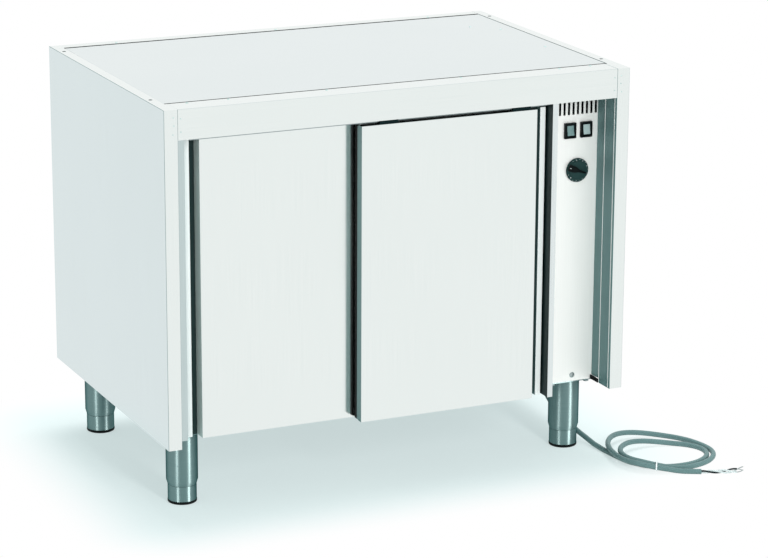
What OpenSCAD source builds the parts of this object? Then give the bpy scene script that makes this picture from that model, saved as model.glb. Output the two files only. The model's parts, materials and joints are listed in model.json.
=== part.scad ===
// Free-standing hot cupboard with two sliding doors, a recessed control bay and adjustable legs.
// Millimetres, +Z up, front towards -Y, origin on the floor under the middle of the cabinet.

/* [Cabinet] */
// Width over the side panels
cabinet_w = 1000; // [900:10:1400]
// Depth from the front posts to the rear panel
cabinet_d = 670; // [620:10:800]
// Height of the side panels
panel_h = 675; // [640:5:760]
// Clear height from the floor to the panels' lower edge
leg_h = 150; // [135:5:180]
// Thickness of the stainless sheet
sheet_t = 1.2; // [0.8:0.1:1.6]
// Width of each front post's face
post_w = 28; // [24:1:36]
// Depth of the fold behind each front post
post_return = 46; // [36:1:56]
// Width of the side panels' top flange
side_flange = 22; // [18:1:28]
// Width of the lip that each side panel turns in at the rear
rear_lip = 15; // [10:1:25]
// Height of the fascia over the doors
fascia_h = 60; // [56:1:75]
// Depth of the lip under the fascia
fascia_lip = 8; // [4:1:9]
// Depth of the fascia's top flange
front_flange = 54; // [40:1:56]
// Depth of the rear panel's top flange
rear_flange = 27; // [18:1:36]

/* [Roof] */
// Open slot between the roof panel and the front and rear flanges
roof_slot = 6; // [2:0.5:8]
// Gap between the roof panel and the side flanges
roof_side = 1; // [0.5:0.5:4]
// How far the roof panel is sunk below the flanges
roof_drop = 0.5; // [0.5:0.5:5]
// Depth from the panels' top to the chamber ceiling
roof_depth = 34; // [26:1:36]
// Diameter of each worktop fixing hole
top_hole_d = 8; // [5:0.5:10]
// Distance of the fixing holes in from the sides
top_hole_x = 11; // [9:0.5:14]
// Distance of the front fixing holes behind the front
top_hole_front = 100; // [70:5:160]
// Distance of the rear fixing holes from the rear
top_hole_rear = 64; // [40:2:120]
// Diameter of a rivet head
rivet_d = 6; // [4:0.5:8]
// Distance of the roof's rivets in from its right edge
roof_rivet_in = 32; // [15:1:60]

/* [Chamber] */
// Thickness of the insulated left wall
left_wall = 58; // [46:1:80]
// Width from the right side to the chamber face of the partition
control_bay = 172; // [165:1:200]
// Thickness of the partition
partition_t = 12; // [10:1:16]
// Set-back of the partition's front strip
partition_front = 2; // [0:0.5:6]
// Thickness of the insulated rear wall
rear_wall = 43; // [30:1:70]
// Height of the insulated base
base_h = 36; // [24:1:60]
// Thickness of the base pan
pan_t = 1.5; // [1:0.1:2.5]
// Height of the base pan's side flanges
pan_flange = 20; // [12:1:24]
// Height of the shelf's top over the panels' lower edge
shelf_z = 330; // [200:5:450]
// Height of the shelf's turned-down edge
shelf_edge = 25; // [15:1:40]
// Clearance round the shelf
shelf_gap = 4; // [2:0.5:8]
// Distance of the shelf behind the base's front
shelf_setback = 26; // [10:1:60]
// Length of a shelf bracket
bracket_len = 60; // [30:5:100]
// Width of a shelf bracket's ledge
bracket_w = 24; // [14:1:40]
// Thickness of a shelf bracket
bracket_t = 2; // [1.5:0.5:3]

/* [Doors] */
// Set-back of the front door's face
door_recess = 10; // [9:0.5:14]
// Thickness of a door
door_t = 30; // [28:1:36]
// Gap between the two doors
door_plane_gap = 8; // [5:0.5:14]
// Gap between the rear door and the chamber
chamber_gap = 6; // [4:0.5:12]
// Side clearance of a closed door
door_gap = 4; // [2:0.5:8]
// Overlap of the closed doors
door_overlap = 60; // [58:1:90]
// Gap between the fascia and a door's top
door_top_gap = 10; // [6:0.5:14]
// Width of the strip beyond the finger groove
handle_flange = 12; // [8:0.5:18]
// Width of the finger groove
groove_w = 15; // [12:0.5:16]
// How far the strip is set behind the door's face
flange_set = 16; // [10:0.5:20]
// Depth of the door skin's turned edge
pan_return = 16; // [12:0.5:20]
// How far the liner is set in from the skin's edge
liner_inset = 8; // [4:0.5:14]
// Height of the lips beside the lower guide channel
channel_lip = 12; // [8:0.5:18]
// Depth from the face to the guide channel
channel_set = 9; // [7:0.5:11]
// Width of the guide channel
channel_w = 13; // [10:0.5:14]

/* [Running gear] */
// Roller diameter
roller_d = 24; // [20:0.5:26]
// Roller width
roller_w = 7; // [5:0.5:8]
// Axle diameter
axle_d = 6; // [4:0.5:8]
// Running clearance of round fits
round_clear = 0.3; // [0.2:0.05:0.4]
// Distance of a hanger from the door's end
hanger_inset = 60; // [48:1:90]
// Width of a hanger
hanger_w = 40; // [28:1:50]
// Thickness of a hanger's upright
hanger_t = 2.5; // [2:0.5:3]
// Thickness of a hanger's foot
hanger_foot_t = 2; // [1.5:0.5:2.5]
// Distance of the hanger's upright behind the door's face
hanger_set = 4; // [3:0.5:5]
// Thickness of the track
rail_t = 2; // [1.5:0.25:2.5]
// Gap between a door's top and its rail
rail_gap = 4; // [3.5:0.5:6]
// Height of the rail's turned-up edge
rail_upturn = 3; // [2:0.5:5]
// Side clearance of a roller in its rail
rail_side_clear = 1; // [0.6:0.1:1.2]
// Length of a lower guide block
guide_len = 22; // [16:1:24]
// Side clearance of a guide block
guide_clear = 1; // [0.5:0.1:1.5]
// Thickness of the guide bracket
guide_t = 1.2; // [1:0.1:2]
// Gap between the guide bracket and the doors
guide_drop = 1.2; // [0.8:0.1:2]

/* [Controls] */
// Gap between the control panel and the base's front
control_gap = 2.8; // [2:0.1:10]
// Distance of the control column from the right side
control_x = 73; // [68:1:80]
// Height of the control panel's side flange over its lower edge
control_notch = 9; // [4:1:20]
// Depth of the control panel's rear flange
control_lip = 15; // [8:1:25]
// Distance of the knob's axis below the fascia
knob_drop = 162; // [140:1:240]
// Knob diameter
knob_d = 50; // [40:1:56]
// Knob height
knob_h = 15; // [12:1:30]
// Thickness of the knob's skirt
knob_skirt = 5; // [3:0.5:8]
// Width of the knob's grip bar
grip_w = 11; // [8:0.5:16]
// Spindle diameter
spindle_d = 6; // [5:0.5:8]
// Distance of the switches' centre below the fascia
switch_drop = 78; // [68:1:92]
// Distance between the switches
switch_pitch = 37; // [34:1:42]
// Switch bezel width
switch_w = 26; // [24:0.5:30]
// Switch bezel height
switch_h = 32; // [30:0.5:36]
// Bezel rim width
bezel_rim = 3; // [2.5:0.25:4]
// Bezel height over the panel
bezel_t = 6; // [1.5:0.25:7]
// Depth of a switch body behind the panel
switch_depth = 24; // [20:1:34]
// Tilt of a rocker either side of level
rocker_tilt = 8; // [5:0.5:9]
// Number of vent slots
vent_n = 9; // [5:1:9]
// Distance between vent slots
vent_pitch = 10.3; // [8:0.1:10.5]
// Width of a vent slot
vent_w = 5; // [3:0.5:5.5]
// Height of a vent slot
vent_h = 40; // [20:1:45]
// Distance of the vent slots' top below the fascia
vent_drop = 6; // [3:0.5:8]
// Height of the panel screw
screw_z = 13; // [10:1:30]
// Diameter of the panel screw's head
screw_d = 12; // [8:0.5:16]

/* [Heater] */
// Distance of the fan's axis from the rear
fan_back = 265; // [240:5:280]
// Height of the fan's axis
fan_z = 300; // [220:5:340]
// Side of the square heater box
heater_box_s = 300; // [260:5:320]
// Depth of the heater box
heater_box_t = 70; // [62:1:78]
// Impeller diameter
impeller_d = 150; // [120:5:160]
// Impeller width
impeller_w = 38; // [28:1:42]
// Number of impeller blades
blade_n = 10; // [6:1:14]
// Motor diameter
motor_d = 82; // [60:1:90]
// Motor length
motor_len = 60; // [40:1:64]
// Motor shaft diameter
shaft_d = 8; // [6:0.5:10]
// Diameter of the heater ring at its tube's middle
ring_d = 200; // [185:1:215]
// Heater tube diameter
heater_tube_d = 8.5; // [6:0.5:10]
// Width of an air slot in the partition
air_slot_w = 6; // [4:0.5:8]
// Distance between air slots
air_slot_pitch = 16; // [14:1:20]
// Height of the air slots
air_slot_h = 110; // [80:5:140]

/* [Legs] */
// Distance of the legs' axes in from the sides
leg_x = 71; // [60:1:110]
// Distance of the front legs' axes behind the front
leg_front = 118; // [118:1:160]
// Distance of the rear legs' axes from the rear
leg_rear = 68; // [50:1:140]
// Leg tube diameter
leg_d = 64; // [54:1:64]
// Leg tube wall
leg_wall = 1.5; // [1.2:0.1:2]
// Foot diameter
foot_d = 58; // [46:1:60]
// Height of the foot's top over the floor
foot_h = 38; // [28:1:45]
// Height of the shoulder's taper
shoulder_h = 10; // [6:0.5:14]
// Thickness of the pad under the foot
pad_t = 4; // [3:0.5:8]
// Diameter of the foot's threaded spindle
foot_spindle_d = 16; // [12:1:20]
// Room between a foot's spindle and the leg plate
spindle_room = 19; // [4:1:30]
// Height of the threaded plug inside the leg
plug_h = 15; // [10:1:18]
// Thickness of a leg plate
plate_t = 4; // [3:0.5:6]
// Width of a leg plate
plate_w = 100; // [96:1:120]
// Depth of a leg plate
plate_d = 64; // [62:1:68]
// Diameter of a leg bolt's head
bolt_head_d = 13; // [10:0.5:14]
// Height of a leg bolt's head
bolt_head_h = 5; // [4:0.5:7]

/* [Cord] */
// Cord diameter
cord_d = 11; // [8:0.5:11]
// Distance of the gland from the right side
gland_x = 60; // [50:1:80]
// Distance of the gland behind the front
gland_y = 245; // [200:5:300]
// Gland diameter
gland_d = 24; // [20:1:30]
// Length of the gland below the base
gland_h = 26; // [20:1:40]
// Width of the tie
tie_w = 2.5; // [2:0.5:5]
// Thickness of the tie
tie_t = 1; // [0.6:0.1:1.5]
// Diameter of a bare core
core_d = 3; // [2:0.25:3.5]

/* [Hidden] */

$fn = 64;
steel = "#dfe6e6";
steel_shade = "#b9c6c6";
galvanised = "#9aa8a8";
wool = "#c9b98a";
nylon = "#efefe8";
black = "#141718";
rocker_grey = "#5e7070";
cord_grey = "#6e8080";

// Cabinet coordinates: x from the left side, y from the front, z from the panels' lower edge.
fascia_z = panel_h - fascia_h;
ceiling_z = panel_h - roof_depth - sheet_t;
rear_door_y = door_recess + door_t + door_plane_gap;
base_front = rear_door_y + door_t + chamber_gap;
partition_x = cabinet_w - control_bay;
bay_x = partition_x + partition_t;
rear_y = cabinet_d - rear_wall;
floor_z = base_h + sheet_t;
lip_clear = 1;

// Doors: both share one size; a door's own u runs from its handle end, v from its face.
opening_w = partition_x - left_wall;
door_w = (opening_w - 2 * door_gap + door_overlap) / 2;
door_h = fascia_z - door_top_gap;
left_door_x = left_wall + door_gap;
right_door_x = partition_x - door_gap;
pan_u = handle_flange + groove_w;

// Running gear
upturn_v = hanger_set + hanger_t + 1.5;
upturn_t = 1.5;
roller_v = upturn_v + upturn_t + rail_side_clear;
rail_leg_v = roller_v + roller_w + 2 * rail_side_clear;
rail_z = door_h + rail_gap;
axle_z = rail_z + rail_t + roller_d / 2 + round_clear;
track_front = 2;
axle_end = rail_leg_v - 0.5;

// Lower guide: each block stays in its door's channel over the whole travel.
guide_mid = partition_x - door_gap - door_w + door_overlap / 2;
guide_shift = guide_len / 2 + 2;
guide_block_h = channel_lip - 1;

// Control bay
control_mid = cabinet_w - control_x;
vent_z = fascia_z - vent_drop - vent_h;
switch_z = fascia_z - switch_drop;
knob_z = fascia_z - knob_drop;
post_x = cabinet_w - post_w;
control_recess = base_front - control_gap - sheet_t;
control_tuck = 2;
panel_back = control_recess + sheet_t;
cutout_clear = 0.25;
body_w = switch_w - 2 * 2;
body_h = switch_h - 2 * 2;
mouth_w = switch_w - 2 * bezel_rim;
mouth_h = switch_h - 2 * bezel_rim;
rocker_w = mouth_w - 2 * round_clear;
rocker_h = mouth_h - 1;
rocker_face = 3;
rocker_back = 6;
rocker_dip = 1;
rocker_pivot_y = control_recess;
cavity_depth = 14;
pivot_d = 3;
pivot_seat = 0.7;
knob_gap = 0.5;
bush_d = 10;
thermostat_w = 44;
thermostat_h = 40;
thermostat_t = 32;
spindle_reach = 16;
screw_shank_d = 6;
screw_len = sheet_t + control_gap - 0.5;

// Heater unit on the bay face of the partition
fan_y = cabinet_d - fan_back;
box_out = bay_x + heater_box_t;
impeller_back = box_out - 18;
shaft_clear = 2;
shaft_reach = 22;
motor_flange_t = 3;
ring_x = impeller_back - impeller_w / 2;
terminal_gap = 30;
terminal_len = 8;
terminal_d = heater_tube_d - 1.5;
bulb_d = 6;
bulb_len = 90;
bulb_y = 300;
bulb_drop = 55;
bulb_z = fascia_z - bulb_drop;
bulb_off = 8;

// Legs, measured from the floor
plug_z = foot_h + shoulder_h + 8;
tube_top = leg_h - plate_t;
foot_spindle_top = tube_top - spindle_room;
bolt_x = plate_w / 2 - 10;
bolt_y = plate_d / 2 - 10;

// Cord, measured from the floor under the cabinet's middle
cord_r = cord_d / 2;
gland_at = [cabinet_w / 2 - gland_x, gland_y - cabinet_d / 2];
gland_exit = leg_h - gland_h;
lead_route = [
    [440, -91, 107], [442, -99, 90], [446, -112, 74], [449, -129, 60], [453, -146, 49],
    [458, -162, 39], [463, -178, 31], [467, -194, 24], [471, -212, 18], [474, -230, 14],
    [476, -249, 10.5], [477, -268, 8], [479, -287, 6.5], [481, -306, cord_r], [483, -326, cord_r],
    [485, -347, cord_r], [488, -369, cord_r]
];
lead_run = 20;

// Coil on the floor: a widening loop, with half widths as a start and a growth for each turn
coil_mid = [582, -386];
coil_from = 200;
coil_turns = 2.125;
coil_ring_n = 32;
coil_side = [84, 14];
coil_back = [36, 62];
coil_front = [66, 13];

// Lift where a turn passes over the lead, and the parts of a turn in which it rises and falls
coil_lift = 12.2;
coil_rise = [0.58, 0.8];
coil_fall = [1.02, 1.2];
tail_n = 4;
tail_step = 18;

// Smooth step from 0 to 1 while n goes through the span
function eased(n, span) =
    let (t = max(0, min(1, (n - span[0]) / (span[1] - span[0]))))
    t * t * (3 - 2 * t);

// Height of the coil's centreline after n turns, the same in every turn but the first half
function coil_height(n) =
    let (part = n - max(0, floor(n - 0.5)))
    cord_r + coil_lift * (eased(part, coil_rise) - eased(part, coil_fall));

// Centreline of the coil after n turns
function coil_point(n) =
    let (
        a = coil_from + 360 * n,
        deep = sin(a) > 0 ? coil_back : coil_front
    )
    [
        coil_mid[0] + (coil_side[0] + coil_side[1] * n) * cos(a),
        coil_mid[1] + (deep[0] + deep[1] * n) * sin(a),
        coil_height(n)
    ];

loop_path = [for (i = [0:coil_turns * coil_ring_n]) coil_point(i / coil_ring_n)];
loop_end = loop_path[len(loop_path) - 1];
loop_end_step = loop_end - loop_path[len(loop_path) - 2];
tail_dir = unit([loop_end_step[0], loop_end_step[1], 0]);
tail_path = [
    for (k = [1:tail_n])
        let (p = loop_end + k * tail_step * tail_dir)
        [p[0], p[1], coil_height(coil_turns + k / coil_ring_n)]
];
coil_path = concat(loop_path, tail_path);

// The tie goes round the strands near these points of the coil, and lies through the first of them
tie_points = [35, 3, 67];
tie_angle = -32;
tie_dir = [cos(tie_angle), sin(tie_angle), 0];

// Where the strand at point i of the coil passes through the tie
function tie_strand(i) =
    let (
        run = coil_path[i + 1] - coil_path[i - 1],
        off = (coil_path[i] - coil_path[tie_points[0]]) * tie_dir
    )
    coil_path[i] - run * off / (run * tie_dir);

tie_strands = [for (i = tie_points) tie_strand(i)];

// Bare cores at the cut end
core_route_len = 85;
core_rings = 15;
core_twist = 430;

// Geometry helpers

// Block between two opposite corners, in cabinet coordinates
module slab(a, b) {
    translate([a[0] - cabinet_w / 2, a[1] - cabinet_d / 2, a[2] + leg_h]) cube(b - a);
}

// Moves children from cabinet coordinates to the floor frame
module in_cabinet(p = [0, 0, 0]) {
    translate([p[0] - cabinet_w / 2, p[1] - cabinet_d / 2, p[2] + leg_h]) children();
}

// Rod along +X from a point given in cabinet coordinates
module rod_x(p, d, len) {
    in_cabinet(p) rotate([0, 90, 0]) cylinder(d = d, h = len);
}

// Rod along +Y from a point given in cabinet coordinates
module rod_y(p, d, len) {
    in_cabinet(p) rotate([-90, 0, 0]) cylinder(d = d, h = len);
}

// Places the left door's own u, v, z
module at_left_door() {
    in_cabinet([left_door_x, rear_door_y, 0]) children();
}

// Places the right door's own u, v, z, with u running from its right end
module at_right_door() {
    in_cabinet([right_door_x, door_recess, 0]) mirror([1, 0, 0]) children();
}

// Block between two opposite corners in a door's own coordinates
module door_slab(a, b) {
    translate(a) cube(b - a);
}

function unit(v) = v / norm(v);

function tangent(path, i) = unit(path[min(i + 1, len(path) - 1)] - path[max(i - 1, 0)]);

// Points of every ring of a tube along a path; ref is a direction that the path never follows
function ring_points(path, r, sides, ref) = [
    for (i = [0:len(path) - 1])
        let (t = tangent(path, i), a = unit(ref - (ref * t) * t), b = cross(t, a))
        for (j = [0:sides - 1])
            path[i] + r * (cos(360 * j / sides) * a + sin(360 * j / sides) * b)
];

// Round tube along a path, closed at both ends
module tube(path, r, sides, ref) {
    n = len(path);
    first_cap = n * sides;
    last_cap = first_cap + 1;
    last_ring = (n - 1) * sides;
    points = concat(ring_points(path, r, sides, ref), [path[0], path[n - 1]]);
    walls = [
        for (i = [0:n - 2])
            for (j = [0:sides - 1])
                let (k = (j + 1) % sides, lo = i * sides, hi = lo + sides)
                for (f = [[lo + j, hi + j, hi + k], [lo + j, hi + k, lo + k]]) f
    ];
    caps = [
        for (j = [0:sides - 1])
            let (k = (j + 1) % sides)
            for (f = [[first_cap, j, k], [last_cap, last_ring + k, last_ring + j]]) f
    ];
    polyhedron(points, concat(walls, caps));
}

cord_end = coil_path[len(coil_path) - 1];
cord_before = coil_path[len(coil_path) - 2];
cord_end_dir = unit([cord_end[0] - cord_before[0], cord_end[1] - cord_before[1], 0]);
lead_end = coil_path[0] - lead_run * unit(coil_path[1] - coil_path[0]);
lead_path = concat([[gland_at[0], gland_at[1], gland_exit]], lead_route, [lead_end, coil_path[0]]);

// Least gap between strands of the coil that lie four or more points apart along it
coil_gap = min([
    for (i = [0:len(coil_path) - 5])
        for (j = [i + 4:len(coil_path) - 1])
            norm(coil_path[i] - coil_path[j]) - cord_d
]);
lead_gap = min([
    for (p = lead_path)
        for (j = [4:len(coil_path) - 1])
            norm(p - coil_path[j]) - cord_d
]);
function path_length(path) = len(path) < 2 ? 0 :
    [for (i = 1, s = norm(path[1] - path[0]); i < len(path);
        i = i + 1, s = i < len(path) ? s + norm(path[i] - path[i - 1]) : s) s][len(path) - 2];
echo(coil_gap = coil_gap, lead_gap = lead_gap);
echo(lead = path_length(lead_path), coil = path_length(coil_path));

// Body

// Side panel against x = 0: wall, front post, top flange and rear lip, with the fixing holes
module side_panel() {
    difference() {
        union() {
            slab([0, 0, 0], [sheet_t, cabinet_d, panel_h]);
            slab([0, 0, 0], [post_w, sheet_t, panel_h]);
            slab([post_w - sheet_t, 0, 0], [post_w, post_return, panel_h]);
            slab([0, 0, panel_h - sheet_t], [post_w, front_flange, panel_h]);
            slab([0, 0, panel_h - sheet_t], [side_flange, cabinet_d, panel_h]);
            slab([0, cabinet_d - 2 * sheet_t, pan_t], [rear_lip, cabinet_d - sheet_t, panel_h]);
        }
        for (y = [top_hole_front, cabinet_d - top_hole_rear])
            in_cabinet([top_hole_x, y, panel_h - 2 * sheet_t]) cylinder(d = top_hole_d, h = 3 * sheet_t);
    }
}

module left_side_panel() {
    color(steel) side_panel();
}

module right_side_panel() {
    color(steel) mirror([1, 0, 0]) side_panel();
}

module fascia() {
    color(steel) {
        slab([post_w, 0, fascia_z], [post_x, sheet_t, panel_h]);
        slab([post_w, 0, fascia_z], [post_x, fascia_lip, fascia_z + sheet_t]);
        slab([post_w, 0, panel_h - sheet_t], [post_x, front_flange, panel_h]);
    }
}

module rear_panel() {
    color(steel) {
        slab([sheet_t, cabinet_d - sheet_t, 0], [cabinet_w - sheet_t, cabinet_d, panel_h - sheet_t]);
        slab(
            [side_flange, cabinet_d - rear_flange, panel_h - sheet_t],
            [cabinet_w - side_flange, cabinet_d, panel_h]
        );
    }
}

// Corners of the roof panel's top
roof_low = [side_flange + roof_side, front_flange + roof_slot, ceiling_z + sheet_t];
roof_high = [
    cabinet_w - side_flange - roof_side,
    cabinet_d - rear_flange - roof_slot,
    panel_h - roof_drop
];

module roof_panel() {
    color(steel) difference() {
        slab(roof_low, roof_high);
        slab(roof_low + [sheet_t, sheet_t, -1], roof_high - [sheet_t, sheet_t, sheet_t]);
    }
}

// Low domed rivet head standing on a point given in cabinet coordinates
module rivet(p) {
    rise = rivet_d / 5;
    ball_r = (pow(rivet_d / 2, 2) + pow(rise, 2)) / (2 * rise);
    in_cabinet(p) intersection() {
        translate([0, 0, rise - ball_r]) sphere(r = ball_r);
        cylinder(d = rivet_d, h = rise);
    }
}

module roof_rivets() {
    flange_row = front_flange - rivet_d;
    rear_row = cabinet_d - rear_flange + rivet_d;
    far_column = cabinet_w - side_flange - roof_side - roof_rivet_in;
    color(steel_shade) {
        for (share = [0.065, 0.15, 0.355, 0.645, 0.865, 0.935])
            rivet([share * cabinet_w, flange_row, panel_h]);
        for (share = [0.14, 0.5, 0.86])
            rivet([share * cabinet_w, rear_row, panel_h]);
        for (share = [0.39, 0.695])
            rivet([far_column, share * cabinet_d, panel_h - roof_drop]);
        rivet([far_column - 1.5 * roof_rivet_in, 0.77 * cabinet_d, panel_h - roof_drop]);
    }
}

// Chamber

module left_jamb() {
    color(steel_shade) {
        slab([post_w - sheet_t, post_return, 0], [left_wall, post_return + sheet_t, ceiling_z]);
        slab([left_wall - sheet_t, post_return, 0], [left_wall, base_front, ceiling_z]);
    }
}

module left_liner() {
    color(steel) slab([left_wall - sheet_t, base_front, floor_z], [left_wall, rear_y, ceiling_z]);
}

module rear_liner() {
    color(steel) slab([left_wall - sheet_t, rear_y, pan_t], [partition_x, rear_y + sheet_t, ceiling_z]);
}

// One wall of the partition, clear of the base pan and the fascia's lip
module partition_wall(x) {
    strip_top = fascia_z;
    step_y = fascia_lip + lip_clear;
    outline = [
        [partition_front, 0], [base_front, 0], [base_front, base_h], [base_front + pan_t, base_h],
        [base_front + pan_t, pan_t], [rear_y + sheet_t, pan_t], [rear_y + sheet_t, ceiling_z],
        [step_y, ceiling_z], [step_y, strip_top], [partition_front, strip_top]
    ];
    in_cabinet([x, 0, 0]) rotate([90, 0, 90]) linear_extrude(sheet_t) polygon(outline);
}

// Slots through which the fan draws from the chamber and blows back into it
module air_slots() {
    blow_y = fan_y + heater_box_s / 2 - air_slot_pitch - air_slot_w;
    for (i = [-3:3])
        slab(
            [partition_x - 1, fan_y - air_slot_w / 2 + i * air_slot_pitch, fan_z - air_slot_h / 2],
            [bay_x + 1, fan_y + air_slot_w / 2 + i * air_slot_pitch, fan_z + air_slot_h / 2]
        );
    for (i = [0:1])
        slab(
            [partition_x - 1, blow_y - i * air_slot_pitch, fan_z - air_slot_h],
            [bay_x + 1, blow_y + air_slot_w - i * air_slot_pitch, fan_z + air_slot_h]
        );
}

module partition() {
    color(steel_shade) difference() {
        union() {
            partition_wall(partition_x);
            partition_wall(bay_x - sheet_t);
            slab(
                [partition_x, partition_front, 0],
                [bay_x, partition_front + sheet_t, fascia_z]
            );
        }
        air_slots();
    }
}

module ceiling() {
    front_y = fascia_lip + lip_clear;
    color(steel) {
        slab([left_wall - sheet_t, front_y, ceiling_z], [bay_x, cabinet_d - sheet_t, ceiling_z + sheet_t]);
        slab(
            [left_wall - sheet_t, front_y, ceiling_z],
            [bay_x, front_y + sheet_t, panel_h - sheet_t]
        );
    }
}

module chamber_floor() {
    color(steel) slab([left_wall - sheet_t, base_front, base_h], [partition_x, rear_y, floor_z]);
}

module base_pan() {
    color(galvanised) difference() {
        union() {
            slab([sheet_t, base_front, 0], [cabinet_w - sheet_t, cabinet_d - sheet_t, pan_t]);
            slab([sheet_t, base_front, 0], [cabinet_w - sheet_t, base_front + pan_t, base_h]);
            for (x = [sheet_t, cabinet_w - sheet_t - pan_t])
                slab([x, base_front, 0], [x + pan_t, cabinet_d - 2 * sheet_t, pan_flange]);
        }
        in_cabinet([cabinet_w - gland_x, gland_y, -1])
            cylinder(d = gland_d - 4 + 2 * round_clear, h = pan_t + 2);
    }
}

// Slabs of wool behind the liners, over the ceiling and under the floor
module insulation() {
    wall_gap = 2;
    color(wool) {
        slab(
            [sheet_t + pan_t + wall_gap, base_front + pan_t, pan_t],
            [left_wall - sheet_t, rear_y, ceiling_z]
        );
        slab([left_wall, base_front + pan_t, pan_t], [partition_x, rear_y, base_h]);
        slab(
            [left_wall, rear_y + sheet_t, pan_t],
            [partition_x, cabinet_d - sheet_t, ceiling_z]
        );
        slab(
            [left_wall, roof_low[1] + sheet_t, ceiling_z + sheet_t],
            [partition_x, roof_high[1] - sheet_t, roof_high[2] - sheet_t]
        );
    }
}

module shelf() {
    low = [left_wall + shelf_gap, base_front + shelf_setback, shelf_z - shelf_edge];
    high = [partition_x - shelf_gap, rear_y - shelf_gap, shelf_z];
    color(steel) difference() {
        slab(low, high);
        slab(low + [sheet_t, sheet_t, -1], high - [sheet_t, sheet_t, sheet_t]);
    }
}

// Angle brackets on the chamber's side walls, under the shelf's edge
module shelf_brackets() {
    ledge_z = shelf_z - shelf_edge;
    first_y = base_front + shelf_setback + bracket_len / 2;
    last_y = rear_y - shelf_gap - 1.5 * bracket_len;
    color(steel_shade) for (y = [first_y, last_y]) {
        slab([left_wall, y, ledge_z - bracket_t], [left_wall + bracket_w, y + bracket_len, ledge_z]);
        slab([left_wall, y, ledge_z - bracket_w], [left_wall + bracket_t, y + bracket_len, ledge_z]);
        slab([partition_x - bracket_w, y, ledge_z - bracket_t], [partition_x, y + bracket_len, ledge_z]);
        slab([partition_x - bracket_t, y, ledge_z - bracket_w], [partition_x, y + bracket_len, ledge_z]);
    }
}

// Doors

// Folded skin: strip, finger groove, face and turned edges
module door_skin() {
    t = sheet_t;
    union() {
        door_slab([0, flange_set, 0], [handle_flange, flange_set + t, door_h]);
        door_slab([0, flange_set, 0], [t, door_t, door_h]);
        door_slab([handle_flange - t, flange_set, 0], [handle_flange, door_t, door_h]);
        door_slab([handle_flange - t, door_t - t, 0], [pan_u + t, door_t, door_h]);
        door_slab([pan_u, 0, 0], [pan_u + t, door_t, door_h]);
        door_slab([pan_u, 0, 0], [door_w, t, door_h]);
        door_slab([door_w - t, 0, 0], [door_w, pan_return, door_h]);
        door_slab([pan_u, 0, door_h - t], [door_w, pan_return, door_h]);
        door_slab([pan_u, 0, 0], [door_w, channel_set, t]);
        door_slab([pan_u, channel_set - t, 0], [door_w, channel_set, channel_lip]);
    }
}

// Liner: rear face with turned edges, set in from the skin's far end
module door_liner() {
    t = sheet_t;
    near = pan_u + t;
    far = door_w - liner_inset;
    rear_lip_v = channel_set + channel_w;
    union() {
        door_slab([near, door_t - t, 0], [far, door_t, door_h]);
        door_slab([far - t, pan_return, channel_lip + 1], [far, door_t, door_h]);
        door_slab([far - t, rear_lip_v, 0], [far, door_t, door_h]);
        door_slab([near, pan_return, door_h - t], [far, door_t, door_h]);
        door_slab([near, rear_lip_v, 0], [far, door_t, t]);
        door_slab([near, rear_lip_v, 0], [far, rear_lip_v + t, channel_lip]);
    }
}

// Distances of a door's hangers along its own u
hanger_at = [hanger_inset, door_w - hanger_inset];

// Hanger: a foot on the door's top, an upright behind it and the roller's axle
module door_hanger(u) {
    upright_top = axle_z + axle_d;
    union() {
        door_slab(
            [u - hanger_w / 2, hanger_set, door_h],
            [u + hanger_w / 2, pan_return, door_h + hanger_foot_t]
        );
        door_slab(
            [u - hanger_w / 2, hanger_set, door_h],
            [u + hanger_w / 2, hanger_set + hanger_t, upright_top]
        );
        translate([u, hanger_set - 1, axle_z]) rotate([-90, 0, 0])
            cylinder(d = axle_d, h = axle_end - hanger_set + 1);
    }
}

module door_roller(u) {
    translate([u, roller_v, axle_z]) rotate([-90, 0, 0]) difference() {
        cylinder(d = roller_d, h = roller_w);
        translate([0, 0, -1]) cylinder(d = axle_d + 2 * round_clear, h = roller_w + 2);
    }
}

module left_door_skin() {
    color(steel) at_left_door() door_skin();
}

module left_door_liner() {
    color(steel_shade) at_left_door() door_liner();
}

module left_door_hangers() {
    color(galvanised) at_left_door() for (u = hanger_at) door_hanger(u);
}

module left_roller_outer() {
    color(nylon) at_left_door() door_roller(hanger_at[0]);
}

module left_roller_inner() {
    color(nylon) at_left_door() door_roller(hanger_at[1]);
}

module right_door_skin() {
    color(steel) at_right_door() door_skin();
}

module right_door_liner() {
    color(steel_shade) at_right_door() door_liner();
}

module right_door_hangers() {
    color(galvanised) at_right_door() for (u = hanger_at) door_hanger(u);
}

module right_roller_outer() {
    color(nylon) at_right_door() door_roller(hanger_at[0]);
}

module right_roller_inner() {
    color(nylon) at_right_door() door_roller(hanger_at[1]);
}

// Track under the ceiling: one web, and for each door a hanging rail with a turned-up edge
module door_track() {
    web_front = door_recess + track_front;
    web_back = rear_door_y + rail_leg_v + rail_t;
    color(galvanised) {
        slab([left_wall, web_front, ceiling_z - rail_t], [partition_x, web_back, ceiling_z]);
        for (y = [door_recess, rear_door_y]) {
            slab([left_wall, y + rail_leg_v, rail_z], [partition_x, y + rail_leg_v + rail_t, ceiling_z]);
            slab([left_wall, y + upturn_v, rail_z], [partition_x, y + rail_leg_v + rail_t, rail_z + rail_t]);
            slab(
                [left_wall, y + upturn_v, rail_z],
                [partition_x, y + upturn_v + upturn_t, rail_z + rail_t + rail_upturn]
            );
        }
    }
}

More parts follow.
